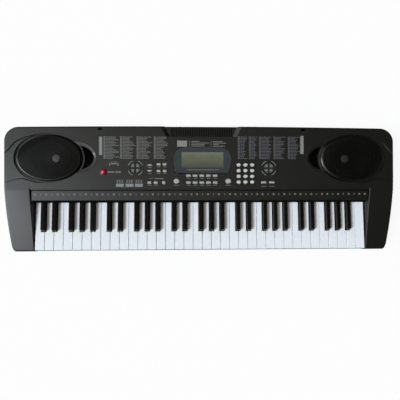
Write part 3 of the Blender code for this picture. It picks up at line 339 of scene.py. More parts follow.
def combined(mesh, operation, others):
    """A mesh joined with others or cut by them, as a plain mesh."""
    group = bpy.data.collections.new("others")
    scene.collection.children.link(group)
    drawn = [bpy.data.objects.new("shape", other) for other in others]
    for shape in drawn:
        group.objects.link(shape)
    first = bpy.data.objects.new("shape", mesh)
    scene.collection.objects.link(first)
    modifier = first.modifiers.new("carve", "BOOLEAN")
    modifier.operation = operation
    modifier.operand_type = "COLLECTION"
    modifier.collection = group
    modifier.solver = "EXACT"
    made = evaluated(first)
    for shape in [first, *drawn]:
        bpy.data.objects.remove(shape)
    bpy.data.collections.remove(group)
    return made


def piece(name, mesh, finish, body="case", replaces=(), bevel=0.0, skin=0.0):
    """A finished piece of the keyboard: shaded, with its material, slot and body."""
    mesh.name = name
    mesh.shade_smooth()
    mesh.set_sharp_from_angle(angle=math.radians(32))
    mesh.materials.clear()
    mesh.materials.append(finish)
    thing = bpy.data.objects.new(name, mesh)
    scene.collection.objects.link(thing)
    if bevel:
        rounding = thing.modifiers.new("edges", "BEVEL")
        rounding.width = bevel
        rounding.segments = 2
        rounding.limit_method = "ANGLE"
        rounding.angle_limit = math.radians(34)
        rounding.use_clamp_overlap = True
    if skin:
        thick = thing.modifiers.new("thickness", "SOLIDIFY")
        thick.thickness = skin
        thick.offset = -1
        thick.use_even_offset = True
    weighted = thing.modifiers.new("even_shading", "WEIGHTED_NORMAL")
    weighted.keep_sharp = True
    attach(thing, body)
    if replaces:
        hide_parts(*replaces)


def case_top(inset, low):
    """The upper part of the case as a block: cheeks that rise from the front, then the panel."""
    bm = prism(offset(case_outline(), -inset), low, panel_height + headroom)
    cheek_angle = math.atan2(panel_height - cheek_front_height, panel_front - front)
    planes = ((front, cheek_front_height, cheek_angle), (panel_front, panel_height, panel_slope))
    for y, height, angle in planes:
        cut = bmesh.ops.bisect_plane(
            bm,
            geom=[*bm.verts, *bm.edges, *bm.faces],
            dist=weld,
            plane_co=(0, y, height - inset / math.cos(angle)),
            plane_no=(0, -math.sin(angle), math.cos(angle)),
            clear_outer=True,
        )
        edges = [item for item in cut["geom_cut"] if isinstance(item, bmesh.types.BMEdge)]
        bmesh.ops.contextual_create(bm, geom=edges)
    return mesh_of(round_rim(bm, case_fillet - inset, 6))


def well_blocks(extra):
    """The well that the keys lie in: upright beside the keys, and wider above them."""
    half = well_half + extra
    low = box((-half, half), (front - reach, panel_front), (split - reach, key_top))
    high = box((-half, half), (front - reach, panel_front), (key_top, panel_height + reach))
    spread = (panel_height + reach - key_top) * math.tan(well_draft)
    for vert in high.verts:
        if vert.co.z > key_top:
            vert.co.x += math.copysign(spread, vert.co.x)
    return [mesh_of(low), mesh_of(high)]


def well_chamfer(side):
    """A square bar on its edge, along the top edge of the well's wall, which takes that edge off."""
    start = Vector((side * well_half, front, cheek_front_height))
    end = Vector((well_half + (panel_height - key_top) * math.tan(well_draft), panel_front, panel_height))
    end.x *= side
    along = (end - start).normalized()
    half = chamfer / math.sqrt(2)
    square_bar = box((-half, half), (-half, half), (-reach, (end - start).length + reach))
    turn = Matrix.Rotation(math.radians(45), 4, "Z")
    stood = Matrix.Translation(start) @ along.to_track_quat("Z", "Y").to_matrix().to_4x4() @ turn
    return mesh_of(square_bar, stood)


pod_x, pod_up, pod_half = half_width - 0.1036, 0.0753, (0.0816, 0.0597)
pod_floor, pod_ledge = -0.0055, 0.0088
grille_x, grille_up, grille_half = half_width - 0.1053, 0.0757, (0.0788, 0.0562)
port_x, port_up, port_hole = half_width - 0.166, 0.0764, (0.0455, 0.0300)
port_collar, port_foot, port_crest = (0.0560, 0.0433), (0.0578, 0.0451), (0.0520, 0.0393)
port_rim_height, port_funnel, port_clear = 0.0015, 0.0010, 0.0044
slope_foot, slope_top = 0.0126, -0.0114
collar_depth, collar_top, cut_depth = 0.0075, 0.001, 0.012


def pod_outline(side, inset=0.0):
    """The oval of one pod, drawn in by inset."""
    return ellipse((side * pod_x, pod_up), pod_half[0] - inset, pod_half[1] - inset)


def oval_cone(centre, foot, top, low, high):
    """An upright oval block with one half size at its foot and another at its top."""
    bm = prism(ellipse(centre, *foot), low, high)
    for vert in bm.verts:
        if vert.co.z > (low + high) / 2:
            vert.co.x = centre[0] + (vert.co.x - centre[0]) * top[0] / foot[0]
            vert.co.y = centre[1] + (vert.co.y - centre[1]) * top[1] / foot[1]
    return bm


def grown(half, more):
    """The half sizes of an oval made larger all round."""
    return (half[0] + more, half[1] + more)


def port_openings(side):
    """A port's hole and the funnel at its mouth, each cut off where the pod's edge stands."""
    centre = (side * port_x, port_up)
    hole = mesh_of(prism(ellipse(centre, *port_hole), -cut_depth, reach))
    guard = mesh_of(prism(pod_outline(side, -port_clear), -cut_depth - reach, 2 * reach))
    mouth, crest = grown(port_hole, 0.0004), grown(port_crest, -0.0003)
    funnel = mesh_of(oval_cone(centre, mouth, crest, -port_funnel, port_rim_height + 0.0001))
    foot, top = grown(pod_half, slope_foot), grown(pod_half, slope_top)
    slope = mesh_of(oval_cone((side * pod_x, pod_up), foot, top, -cut_depth, cut_depth))
    openings = [combined(hole, "DIFFERENCE", [guard]), combined(funnel, "DIFFERENCE", [slope])]
    for opening in openings:
        opening.transform(panel)
    return openings


tray_half, tray_length, tray_depth, tray_slope = 0.0855, 0.026, 0.0065, 0.0095
tray_shift, tray_flare, tray_room = -0.0024, 0.42, 0.03
tray_front = rear - tray_length
tray_floor = panel_height + (tray_front - panel_front) * math.tan(panel_slope) - tray_depth


def tray_shape(extra):
    """The tray let into the rear edge: its ends slope down to a floor that is wider at the back."""
    low = tray_floor - extra
    corners = [(-1, tray_front - extra), (1, tray_front - extra), (1, rear + reach), (-1, rear + reach)]
    bm = prism(corners, low, low + tray_room)
    for vert in bm.verts:
        rise = (vert.co.z - low) / tray_depth * tray_slope
        half = tray_half - tray_slope + tray_flare * (vert.co.y - tray_front) + rise + extra
        vert.co.x = math.copysign(half, vert.co.x) + tray_shift
    return bm


post_radius, rib_drop = 0.0042, 0.006
post_places = [(side * x, rear - rear_bow - wall - 0.018) for x in (0.1, 0.3) for side in (-1, 1)]
post_places += [(side * (half_width - 0.030), front + 0.040) for side in (-1, 1)]


def hollow_of_case():
    """The space inside the upper shell, less the walls, posts and rib that stand in it."""
    rib_heights = (panel_height - rib_drop, panel_height + reach)
    rib = box((-well_half, well_half), (panel_front - reach, panel_front + wall), rib_heights)
    kept = [*well_blocks(wall), mesh_of(rib), mesh_of(tray_shape(wall))]
    for place in post_places:
        kept.append(mesh_of(prism(circle(place, post_radius, 20), split - reach, panel_height + headroom)))
    for side in (-1, 1):
        kept.append(on_panel(pod_outline(side, -wall), -collar_depth, collar_top))
        kept.append(on_panel(ellipse((side * port_x, port_up), *port_collar), -collar_depth, collar_top))
    return combined(case_top(wall, split - reach), "DIFFERENCE", kept)


# The area round each pod lies a little lower than the rest, behind a short slope. Its outline sweeps in
# from the case's side to the pod's top and, lower down, to the pod's foot.
sunken_depth, sunken_room = 0.0020, 0.012
past_side = half_width + 0.012
sunken_knots = [
    (past_side, 0.083, "corner"), (0.4670, 0.0905), (0.4440, 0.1148), (0.4180, 0.1268), (0.3960, 0.1318),
    (0.3780, 0.1330, "corner"), (0.3780, 0.0168, "corner"), (0.3860, 0.0164), (0.4050, 0.0188),
    (0.4260, 0.0252), (0.4450, 0.0238), (0.4660, 0.0165), (past_side, 0.0120, "corner"),
]


def sunken_area(side):
    """The lowered area round one pod: its outline runs smoothly through its knots but the corners."""
    curve = bpy.data.curves.new("outline", "CURVE")
    curve.dimensions = "2D"
    curve.fill_mode = "BOTH"
    curve.extrude = sunken_room / 2
    curve.resolution_u = 8
    spline = curve.splines.new("BEZIER")
    spline.bezier_points.add(len(sunken_knots) - 1)
    spline.use_cyclic_u = True
    for knot, (x, y, *corner) in zip(spline.bezier_points, sunken_knots):
        knot.co = (side * x, y, 0)
        knot.handle_left_type = knot.handle_right_type = "VECTOR" if corner else "AUTO"
    drawn = bpy.data.objects.new("outline", curve)
    scene.collection.objects.link(drawn)
    bm = bmesh.new()
    bm.from_mesh(evaluated(drawn))
    bpy.data.objects.remove(drawn)
    bmesh.ops.remove_doubles(bm, verts=bm.verts, dist=weld)
    bmesh.ops.dissolve_limit(bm, angle_limit=0.0002, verts=bm.verts, edges=bm.edges)
    bmesh.ops.translate(bm, verts=bm.verts, vec=(0, 0, sunken_room / 2))
    bmesh.ops.recalc_face_normals(bm, faces=bm.faces)
    base = [face for face in bm.faces if face.normal.z < -0.9]
    bmesh.ops.inset_region(bm, faces=base, thickness=sunken_depth, depth=sunken_depth, use_even_offset=True)
    return mesh_of(bm, panel)


charcoal = moulded_plastic("charcoal_plastic", (0.0034, 0.0035, 0.0028), 0.38)
upper = combined(case_top(0, split), "DIFFERENCE", [hollow_of_case()])
upper = combined(upper, "DIFFERENCE", [sunken_area(side) for side in (-1, 1)])
swells = []
for side in (-1, 1):
    swell = oval_cone((side * port_x, port_up), port_foot, port_crest, -port_rim_height, port_rim_height)
    swells.append(mesh_of(swell, panel))
upper = combined(upper, "UNION", swells)

rest_slot_x, rest_slot_y, rest_slot_half = 0.245, rear - rear_bow - 0.0055, (0.005, 0.0025)
cuts = [*well_blocks(0), mesh_of(tray_shape(0))]
for side in (-1, 1):
    cuts.append(well_chamfer(side))
    cuts.append(on_panel(pod_outline(side), pod_floor, reach))
    cuts.append(on_panel(pod_outline(side, pod_ledge), -cut_depth, reach))
    cuts += port_openings(side)
    across = (side * rest_slot_x - rest_slot_half[0], side * rest_slot_x + rest_slot_half[0])
    along = (rest_slot_y - rest_slot_half[1], rest_slot_y + rest_slot_half[1])
    cuts.append(mesh_of(box(across, along, (split, panel_height + headroom))))

# The places of the buttons, up the panel and out from the middle of the case, with their sizes
menu_places = [(-0.0013 + 0.0161 * i, 0.0170 + 0.0166 * row) for row in (0, 1) for i in (-2, -1, 0, 1, 2)]
dial_places = [(-0.0625, 0.0204), (0.0625, 0.0204)]
number_places = [(0.1044 + 0.0164 * i, 0.0182 + 0.0138 * row) for row in range(4) for i in (-1, 0, 1)]
record_places = [(0.14875, 0.0174), (0.16865, 0.0174)]
arrow_places = [(-0.12625, 0.0449), (-0.12625, 0.0591)]
mode_places = [(-0.0977 + 0.0073 * i, 0.0447 + 0.0161 * row) for row in (0, 1) for i in (-1, 1)]
start_places = [(-0.1268, 0.0168), (-0.1120, 0.0168)]
stop_place, power_place = (-0.0926, 0.0168), (-0.2366, 0.0422)
pad_places = [(-0.1610, 0.0518), (0.1610, 0.0518)]
menu_size, record_size = (0.0120, 0.0066), (0.0132, 0.0057)
mode_size, start_size = (0.0100, 0.0064), (0.0100, 0.0069)
dial_half, number_half = (0.0073, 0.0063), (0.0053, 0.00435)
arrow_half, arrow_drop = (0.0066, 0.0050), 0.0024
stop_radius, power_radius, pad_radius = 0.0045, 0.0058, 0.0126
cap_corner, cap_gap = 0.0016, 0.0005


def half_oval(centre, way):
    """Half an oval, anticlockwise, with its round side up or, with way -1, down."""
    start = 0 if way > 0 else 180
    turns = [math.radians(start + 180 * i / 14) for i in range(15)]
    x, y = centre[0], centre[1] - arrow_drop * way
    return [(x + arrow_half[0] * math.cos(a), y + arrow_half[1] * math.sin(a)) for a in turns]


menu_caps = [rounded(place, menu_size, cap_corner) for place in menu_places]
menu_caps += [ellipse(place, *dial_half, 40) for place in dial_places]
number_caps = [ellipse(place, *number_half, 32) for place in number_places]
record_caps = [rounded(place, record_size, cap_corner) for place in record_places]
function_caps = [half_oval(arrow_places[0], -1), half_oval(arrow_places[1], 1)]
function_caps += [rounded(place, mode_size, cap_corner) for place in mode_places]
function_caps += [rounded(place, start_size, cap_corner) for place in start_places]
function_caps.append(circle(stop_place, stop_radius, 32))
round_caps = [circle(power_place, power_radius, 40)]
round_caps += [circle(place, pad_radius, 56) for place in pad_places]
for outline in menu_caps + number_caps + record_caps + function_caps + round_caps:
    cuts.append(on_panel(offset(outline, cap_gap), -wall - reach, reach))

window_up, window_size = 0.0716, (0.102, 0.0382)
lens_gap, lens_seat = 0.0004, 0.0017
lens_knots = [
    (0.0349, 0.0403), (0.0429, 0.0333), (0.0544, 0.0333), (0.0574, 0.0363), (0.0660, 0.0480),
    (0.0702, 0.0724), (0.0702, 0.0784), (0.0640, 0.0924), (0.0580, 0.0974), (0.0460, 0.1024),
]
lens_outline = lens_knots + [(-x, y) for x, y in reversed(lens_knots)]
cuts.append(on_panel(offset(lens_outline, lens_gap), -lens_seat, reach))
cuts.append(on_panel(rounded((0, window_up), window_size, 0.0015), -wall - reach, reach))
upper = combined(upper, "DIFFERENCE", cuts)
piece("upper_shell", upper, charcoal, replaces=["top_case"], bevel=0.0005)

# Lower shell
# The lower half of the case: a tray moulded in near-black plastic, whose low front rim shows under
# the keys. It carries the feet, the screw posts, the battery bay and the holes for the sockets.
lower_dark = moulded_plastic("near_black_plastic", (0.0034, 0.0035, 0.0030), 0.50)
foot_height, rim_height, seam = 0.003, 0.034, 0.0004
lower_fillet, inner_fillet = 0.008, 0.0052
bay_low, bay_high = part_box("battery_cover")
bay_top = bay_high.z + 0.029
bay_overlap, bay_wall = 0.0035, 0.002
seat_margin, seat_gap, seat_wall = 0.004, 0.0005, 0.004
screw_hole, screw_seat, post_gap = 0.0040, 0.0022, 0.001
socket_x, socket_radius, socket_height = (-0.170, -0.200, -0.230), (0.0048, 0.0048, 0.0046), 0.0261
socket_gap, socket_cut = 0.0004, (0.12, 0.17)
across_back = Matrix.Rotation(math.radians(-90), 4, "X")


def bay_block(margin, low, high):
    """A block round the battery bay, larger all round by margin."""
    lid = bay_overlap - margin
    across = (bay_low.x + lid, bay_high.x - lid)
    return mesh_of(box(across, (bay_low.y + lid, bay_high.y - lid), (low, high)))


lower = mesh_of(round_rim(prism(case_outline(), foot_height, split - seam), lower_fillet, 5, -1))
inside = prism(offset(case_outline(), -wall), foot_height + wall, split + reach)
inside = mesh_of(round_rim(inside, inner_fillet, 4, -1))
kept = [
    bay_block(bay_wall, foot_height, bay_top + bay_wall),
    bay_block(seat_margin + bay_wall, foot_height, bay_high.z + seat_wall),
]
for place in post_places:
    kept.append(mesh_of(prism(circle(place, post_radius, 20), foot_height + wall / 2, split - post_gap)))
lower = combined(lower, "DIFFERENCE", [combined(inside, "DIFFERENCE", kept)])
cuts = [
    mesh_of(box((-well_half, well_half), (front - reach, key_front + reach), (rim_height, split + reach))),
    bay_block(0, -reach, bay_top),
    bay_block(seat_margin, -reach, bay_high.z + seat_gap),
]
for place in post_places:
    cuts.append(mesh_of(prism(circle(place, screw_hole, 24), -reach, foot_height + screw_seat)))
for x, radius in zip(socket_x, socket_radius):
    hole = prism(circle((0, 0), radius + socket_gap, 32), *socket_cut)
    cuts.append(mesh_of(hole, Matrix.Translation((x, 0, socket_height)) @ across_back))
lower = combined(lower, "DIFFERENCE", cuts)
piece("lower_shell", lower, lower_dark, replaces=["bottom_case"])

# Feet and screws
# Six round feet are pressed into the lower shell's bosses, in black rubber. Six zinc-plated cross-head
# screws sit at the bottom of their holes and hold the two shells together.
def gathered(shapes, matrix=None):
    """Several bmesh shapes as one mesh."""
    whole = bmesh.new()
    for shape in shapes:
        part = mesh_of(shape, matrix)
        whole.from_mesh(part)
        bpy.data.meshes.remove(part)
    return plain_mesh(whole)


rubber = moulded_plastic("foot_rubber", (0.012, 0.012, 0.012), 0.85, (900, 1, 0.0001))
foot_x, foot_y, foot_radius = half_width - 0.060, rear - 0.030, 0.011
feet = []
for place in [(x, y) for x in (-foot_x, 0, foot_x) for y in (-foot_y, foot_y)]:
    foot = prism(circle(place, foot_radius, 48), 0, foot_height + wall / 2)
    feet.append(round_rim(foot, 0.0008, 3, -1))
piece("foot_pads", gathered(feet), rubber)


def metal(name, colour, roughness):
    """Plated metal, slightly clouded."""
    tones, rough = toned(colour, 1, 1), (roughness - 0.08, roughness + 0.08)
    return clouded(name, tones, rough, ((420, 3, 1),), constants={"Metallic": 1.0})


def turned(profile, centre, steps=32):
    """A profile in radius and height, turned about an upright axis through centre, as a bmesh."""
    bm = bmesh.new()
    verts = [bm.verts.new((radius, 0, height)) for radius, height in profile]
    edges = [bm.edges.new(pair) for pair in zip(verts, verts[1:])]
    spun = {"geom": [*verts, *edges], "cent": (0, 0, 0), "axis": (0, 0, 1), "dvec": (0, 0, 0)}
    bmesh.ops.spin(bm, angle=2 * math.pi, steps=steps, use_merge=True, use_duplicate=False, **spun)
    bmesh.ops.remove_doubles(bm, verts=bm.verts, dist=weld)
    bmesh.ops.translate(bm, verts=bm.verts, vec=centre)
    bmesh.ops.recalc_face_normals(bm, faces=bm.faces)
    return bm


zinc = metal("zinc_plate", (0.62, 0.62, 0.60), 0.32)
screws = []
head = [(0, 0.0022), (0.0034, 0.0022), (0.0034, 0.0008), (0.0022, 0.0001), (0.0009, 0), (0, 0)]
for place in post_places:
    screws.append(turned(head, (*place, foot_height)))
    for notch_size in ((0.0042, 0.0009), (0.0009, 0.0042)):
        notch = rounded(place, notch_size, 0.0003, 2)
        screws.append(prism(notch, foot_height - 0.00002, foot_height + 0.0004))
piece("case_screws", gathered(screws), zinc)

# Battery cover
# A flat cover clipped into the underside, in the lower shell's plastic, with a moulded thumb latch and
# grip ribs near its rear edge.
cover = box((bay_low.x, bay_high.x), (bay_low.y, bay_high.y), (bay_low.z, bay_high.z))
door = [round_rim(cover, 0.0006, 2, -1)]
grip_count, grip_half, grip_pitch, grip_width = 6, 0.014, 0.0022, 0.0008
for i in range(grip_count):
    y = bay_high.y - 0.012 - grip_pitch * i
    rib = box((-grip_half, grip_half), (y, y + grip_width), (bay_low.z - 0.0005, bay_low.z + 0.0008))
    door.append(round_rim(rib, 0.0002, 2, -1))
latch = rounded((0, bay_high.y - 0.0042), (0.030, 0.0062), 0.0022)
door.append(round_rim(prism(latch, bay_low.z - 0.0008, bay_low.z + 0.0008), 0.0005, 3, -1))
piece("battery_door", gathered(door), lower_dark, "battery_cover", ["battery_cover"])

# White keys
# Thirty-six hollow keys in cool white gloss plastic, each cut away beside the black keys. Each is
# moulded in one piece with its hinge and stands a hair's breadth from the next.
key_count, key_pitch, key_wall = 36, 0.0224, 0.0018
skirt, tail_height, tail_length, key_edge = 0.016, 0.004, 0.007, 0.0008
black_width, black_clear, black_length = 0.011, 0.0009, 0.069
key_shown = 0.1135
shoulder = key_front + key_shown - black_length - black_clear
tail_level = key_back - tail_length
# How far each black key stands off the line between its white keys, by the white key at its right
black_shifts = {1: -0.0020, 2: 0.0020, 4: -0.0032, 5: 0.0, 6: 0.0032}


def white_plastic():
    """Gloss plastic, faintly yellowed and smudged by fingers in places."""
    finish = Finish("white_key_plastic", (0.80, 0.83, 0.90), 0.24)
    tint = finish.mix(finish.noise(5, 2) * 0.5, (0.80, 0.83, 0.91, 1), (0.80, 0.82, 0.86, 1))
    finish.vary({"Base Color": tint, "Roughness": 0.18 + finish.noise(60, 4) * 0.16})
    finish.bump(finish.noise(220, 2), 0.00002)
    return finish.material


def white_key(index):
    """One key as an open skin: a top plate, wide in front, with walls that grow shallow at the back."""
    centre = (index - (key_count - 1) / 2) * key_pitch
    place = index % 7
    clear = black_width / 2 + black_clear
    head = key_pitch / 2 - key_gap / 2
    left = head if place not in black_shifts else key_pitch / 2 - clear - black_shifts[place]
    cut_right = place + 1 in black_shifts and index < key_count - 1
    right = key_pitch / 2 - clear + black_shifts[place + 1] if cut_right else head
    outline = [(centre - head, key_front), (centre + head, key_front)]
    if cut_right:
        outline += [(centre + head, shoulder), (centre + right, shoulder)]
    outline += [(centre + right, tail_level), (centre + right, key_back)]
    outline += [(centre - left, key_back), (centre - left, tail_level)]
    if place in black_shifts:
        outline += [(centre - left, shoulder), (centre - head, shoulder)]
    bm = prism(outline, key_top - skirt, key_top)
    for vert in bm.verts:
        if vert.co.z < key_top - skirt / 2:
            share = min(1, max(0, (vert.co.y - shoulder) / (tail_level - shoulder)))
            vert.co.z += (skirt - tail_height) * share
    bm.normal_update()
    under = [f for f in bm.faces if f.normal.z < -0.9 or max(v.co.z for v in f.verts) < key_top - 0.002]
    fronts = []
    for edge in bm.edges:
        first, second = (vert.co for vert in edge.verts)
        in_front = max(abs(first.y - key_front), abs(second.y - key_front)) < weld
        if in_front and abs(first.x - second.x) < weld:
            fronts.append(edge)
    bmesh.ops.delete(bm, geom=under, context="FACES_ONLY")
    round_edges(bm, fronts, key_edge, 3)
    round_rim(bm, key_edge, 3)
    bmesh.ops.recalc_face_normals(bm, faces=bm.faces)
    if sum(face.normal.z * face.calc_area() for face in bm.faces) < 0:
        bmesh.ops.reverse_faces(bm, faces=bm.faces)
    return plain_mesh(bm)


ivory = white_plastic()
for index in range(key_count):
    note = "cdefgab"[index % 7] + str(2 + index // 7)
    body = "white_key_" + note
    piece("key_" + note, white_key(index), ivory, body, [body], skin=key_wall)

# Black keys
# Five combs of five keys in satin black plastic. Each key narrows towards its top and slopes at its
# nose, and its comb's rail lies over the white keys' tails, out of sight.
black_top_width, black_rise, black_foot, nose_slope = 0.009, 0.0115, 0.014, 0.004
black_front = key_front + key_shown - black_length
comb_step = key_front + key_shown + 0.0085
tail_top = key_top + 0.004
rail_y, rail_z = (key_back - 0.012, key_back - 0.0018), (key_top + 0.0015, key_top + 0.0038)
stand = Matrix(((0, 0, 1, 0), (1, 0, 0, 0), (0, 1, 0, 0), (0, 0, 0, 1)))


def black_key(x):
    """One black key from its side view, narrowed towards its top and rounded along its upper edges."""
    side_view = [
        (black_front, key_top - black_foot),
        (comb_step, key_top - black_foot),
        (tail_level, key_top - tail_height),
        (key_back, key_top - tail_height),
        (key_back, tail_top),
        (comb_step + black_rise, tail_top),
        (comb_step, key_top + black_rise),
        (black_front + nose_slope, key_top + black_rise),
        (black_front, key_top),
    ]
    bm = prism(side_view, -black_width / 2, black_width / 2)
    bmesh.ops.transform(bm, verts=bm.verts, matrix=stand)
    for vert in bm.verts:
        narrow = max(0, (vert.co.z - key_top) / black_rise)
        half = (black_width + (black_top_width - black_width) * narrow) / 2
        vert.co.x = math.copysign(half, vert.co.x) + x
    round_edges(bm, [e for e in bm.edges if all(v.co.z > key_top - weld for v in e.verts)], 0.0013, 4)
    return bm


black_tones, dull = toned((0.0030, 0.0028, 0.0020), 1, 1), {"Specular IOR Level": 0.10}
ebony = clouded("black_key_plastic", black_tones, (0.19, 0.29), ((90, 3, 1),), (1300, 1, 0.00003), dull)
for octave in range(5):
    start = (octave * 7 - key_count / 2) * key_pitch
    centres = [start + joint * key_pitch + shift for joint, shift in black_shifts.items()]
    rail = box((centres[0], centres[-1]), rail_y, rail_z)
    body = "black_keys_octave_%d" % (octave + 1)
    comb = gathered([rail, *[black_key(x) for x in centres]])
    piece("sharps_octave_%d" % (octave + 1), comb, ebony, body, [body])

# Note strip
# A bar between the keys and the panel, moulded in the case's charcoal plastic, with one small printed
# mark for each of the 61 keys.
strip_finish = moulded_plastic("strip_plastic", (0.0024, 0.0025, 0.0020), 0.42)
strip_half, strip_drop, strip_lip = 0.4068, 0.0035, 0.0010
strip_back, lip_back = strip_high.y - 0.0014, panel_front - 0.0003
strip_view = [
    (strip_low.y, strip_low.z),
    (lip_back, strip_low.z),
    (lip_back, strip_low.z + strip_lip),
    (strip_back, strip_low.z + strip_lip),
    (strip_back, strip_high.z),
    (strip_low.y, strip_high.z - strip_drop),
]
strip = prism(strip_view, -strip_half, strip_half)
bmesh.ops.transform(strip, verts=strip.verts, matrix=stand)
strip.normal_update()
top_edges = set()
for face in strip.faces:
    if face.normal.z > 0.9 and face.calc_center_median().z > strip_high.z - 0.003:
        top_edges.update(face.edges)
round_edges(strip, list(top_edges), 0.0012, 4)
piece("note_bar", mesh_of(strip), strip_finish, replaces=["note_strip"])


def ink(name, colour):
    """Screen-printed ink, a little uneven where it covers the grain."""
    return clouded(name, toned(colour, 0.72, 1), (0.6, 0.6), ((700, 2, 1),))


def print_on(name, shapes, finish, matrix):
    """Flat printed shapes, as thin raised plates on a surface."""
    piece(name, gathered([prism(points, -0.00005, 0.00008) for points in shapes], matrix), finish)


def bar(x, y, width, height):
    """A plain rectangle from its lower left corner."""
    return [(x, y), (x + width, y), (x + width, y + height), (x, y + height)]


mark_count, mark_pitch, mark_up, mark_half = 61, 0.01328, 0.0150, (0.0026, 0.0024)
strip_slope = math.atan2(strip_drop, strip_back - strip_low.y)
strip_edge = Matrix.Translation((0, strip_low.y, strip_high.z - strip_drop))
marks = []
for i in range(mark_count):
    x = (i - (mark_count - 1) / 2) * mark_pitch
    is_black = i % 12 in (1, 3, 6, 8, 10)
    marks.append(ellipse((x, mark_up), *mark_half, 3 if is_black else 12))
faint_ink = ink("faint_ink", (0.17, 0.17, 0.155))
print_on("note_marks", marks, faint_ink, strip_edge @ Matrix.Rotation(strip_slope, 4, "X"))

# Felt band
# A ribbon of black felt glued under the note strip's front edge. It hides the keys' tails and stops
# dust, a hair above the black keys.
felt = Finish("black_felt", (0.002, 0.002, 0.002), 1.0, {"Specular IOR Level": 0.1})
felt.bump(felt.noise(2600, 3), 0.0004)
felt_half, felt_low = 0.4044, 0.0744
felt_y, felt_z = (strip_low.y - 0.0046, strip_low.y + 0.006), (felt_low, strip_low.z - 0.0001)
ribbon = round_rim(box((-felt_half, felt_half), felt_y, felt_z), 0.0004, 2)
piece("felt_band", mesh_of(ribbon), felt.material)

# Speaker grilles
# Two oval domes of pierced black plastic over the speakers. Each has a smooth rounded band round its
# edge and a plain round cap at its middle, and clips into its pod from above.
band_height, grille_top, band_foot = 0.0032, 0.0077, pod_floor + 0.0002
band_radius, band_steep, band_flat, band_wall = 0.0094, math.radians(60), math.radians(7), 0.0012
band_width = band_radius * (math.sin(band_steep) - math.sin(band_flat))
field_share = 1 - band_width / grille_half[0]
hole_pitch, hole_margin = 0.0024, 0.00030
cap_x, cap_y, cap_seat = 0.3454 - grille_x, -0.0015, 0.0003
cap_profile = [
    (0, 0.0005), (0.0060, 0.0004), (0.0086, 0.0002), (0.0094, -0.0002), (0.0094, -0.0012), (0, -0.0012)
]


def dome_share(x, y):
    """How far out a place on the grille is, from 0 at its middle to 1 at its edge."""
    return math.hypot(x / grille_half[0], y / grille_half[1])


def dome_height(x, y):
    """The height of the pierced dome at a place."""
    return band_height + (grille_top - band_height) * (1 - (dome_share(x, y) / field_share) ** 3)


def is_square(face):
    """Whether a face's edges are equally long."""
    lengths = [edge.calc_length() for edge in face.edges]
    return max(lengths) - min(lengths) < hole_pitch * 0.05


def pierced_field(side):
    """The pierced part of a grille: a grid of square cells, each opened, bent to the dome."""
    across = 2 * round(grille_half[0] / hole_pitch)
    bm = bmesh.new()
    bmesh.ops.create_grid(bm, x_segments=across, y_segments=across, size=across * hole_pitch / 2)
    outside = [f for f in bm.faces if dome_share(*f.calc_center_median().xy) > field_share + 0.01]
    bmesh.ops.delete(bm, geom=outside, context="FACES")
    bmesh.ops.inset_individual(bm, faces=bm.faces, thickness=hole_margin, use_even_offset=True)
    bmesh.ops.delete(bm, geom=[face for face in bm.faces if is_square(face)], context="FACES")
    for vert in bm.verts:
        vert.co.z = dome_height(vert.co.x, vert.co.y)
        vert.co.x += side * grille_x
        vert.co.y += grille_up
    bmesh.ops.transform(bm, verts=bm.verts, matrix=panel)
    return plain_mesh(bm)


def edge_band():
    """The rounded band round a grille, turned about an upright axis and squeezed to the pod's oval."""
    inner, outer = grille_half[0] - band_width, grille_half[0]
    profile = []
    for i in range(13):
        tilt = band_flat + (band_steep - band_flat) * i / 12
        out = band_radius * (math.sin(tilt) - math.sin(band_flat))
        profile.append((inner + out, band_height - band_radius * (math.cos(band_flat) - math.cos(tilt))))
    under = (outer - band_wall, profile[-1][1] - 0.0008)
    profile += [(outer, band_foot), (outer - band_wall, band_foot), under]
    profile += [(inner, band_height - 0.0016), profile[0]]
    bm = turned(profile, (0, 0, 0), 112)
    squeeze = Matrix.Diagonal((1, grille_half[1] / grille_half[0], 1, 1))
    bmesh.ops.transform(bm, verts=bm.verts, matrix=squeeze)
    return bm


dusty, satin = ((0.0003, 0.0003, 0.0003), (0.00078, 0.00078, 0.00102)), {"Specular IOR Level": 0.29}
grille_black = clouded("grille_plastic", dusty, (0.27, 0.38), ((30, 4, 1),), (1700, 1, 0.00004), satin)
band_black = moulded_plastic("band_plastic", (0.0010, 0.0010, 0.0010), 0.34)
cap_grey = moulded_plastic("cap_plastic", (0.012, 0.0115, 0.009), 0.48)
for side, word in ((-1, "left"), (1, "right")):
    node, field = "speaker_grille_" + word, pierced_field(side)
    piece("grille_" + word, field, grille_black, replaces=[node], skin=0.0010)
    at_pod = panel @ Matrix.Translation((side * grille_x, grille_up, 0))
    piece("grille_band_" + word, mesh_of(edge_band(), at_pod), band_black)
    cap = turned(cap_profile, (side * cap_x, cap_y, dome_height(cap_x, cap_y) - cap_seat), 48)
    piece("grille_cap_" + word, mesh_of(cap, at_pod), cap_grey)


def repaint(node, finish):
    """Gives a CAD node that stays in view its finish."""
    for material_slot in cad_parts[node].material_slots:
        material_slot.material = finish


cone_black = moulded_plastic("speaker_paper", (0.002, 0.002, 0.002), 0.8, (500, 1, 0.0002), 0.1)
repaint("speaker_left", cone_black)
repaint("speaker_right", cone_black)

# Tray ribs
# Fine ribs moulded on the tray's floor at the rear edge, running front to back.
rib_pitch, rib_half = 0.0043, 0.0014
rib_y, rib_z = (tray_front, rear - 0.003), (tray_floor - 0.0005, tray_floor + 0.0011)
tray_ribs = []
for i in range(-17, 18):
    x = i * rib_pitch + tray_shift
    tray_ribs.append(round_rim(box((x - rib_half, x + rib_half), rib_y, rib_z), 0.0005, 2))
rib_black = moulded_plastic("rib_plastic", (0.0024, 0.0024, 0.0018), 0.5, gloss=0.15)
piece("tray_ribs", gathered(tray_ribs), rib_black)

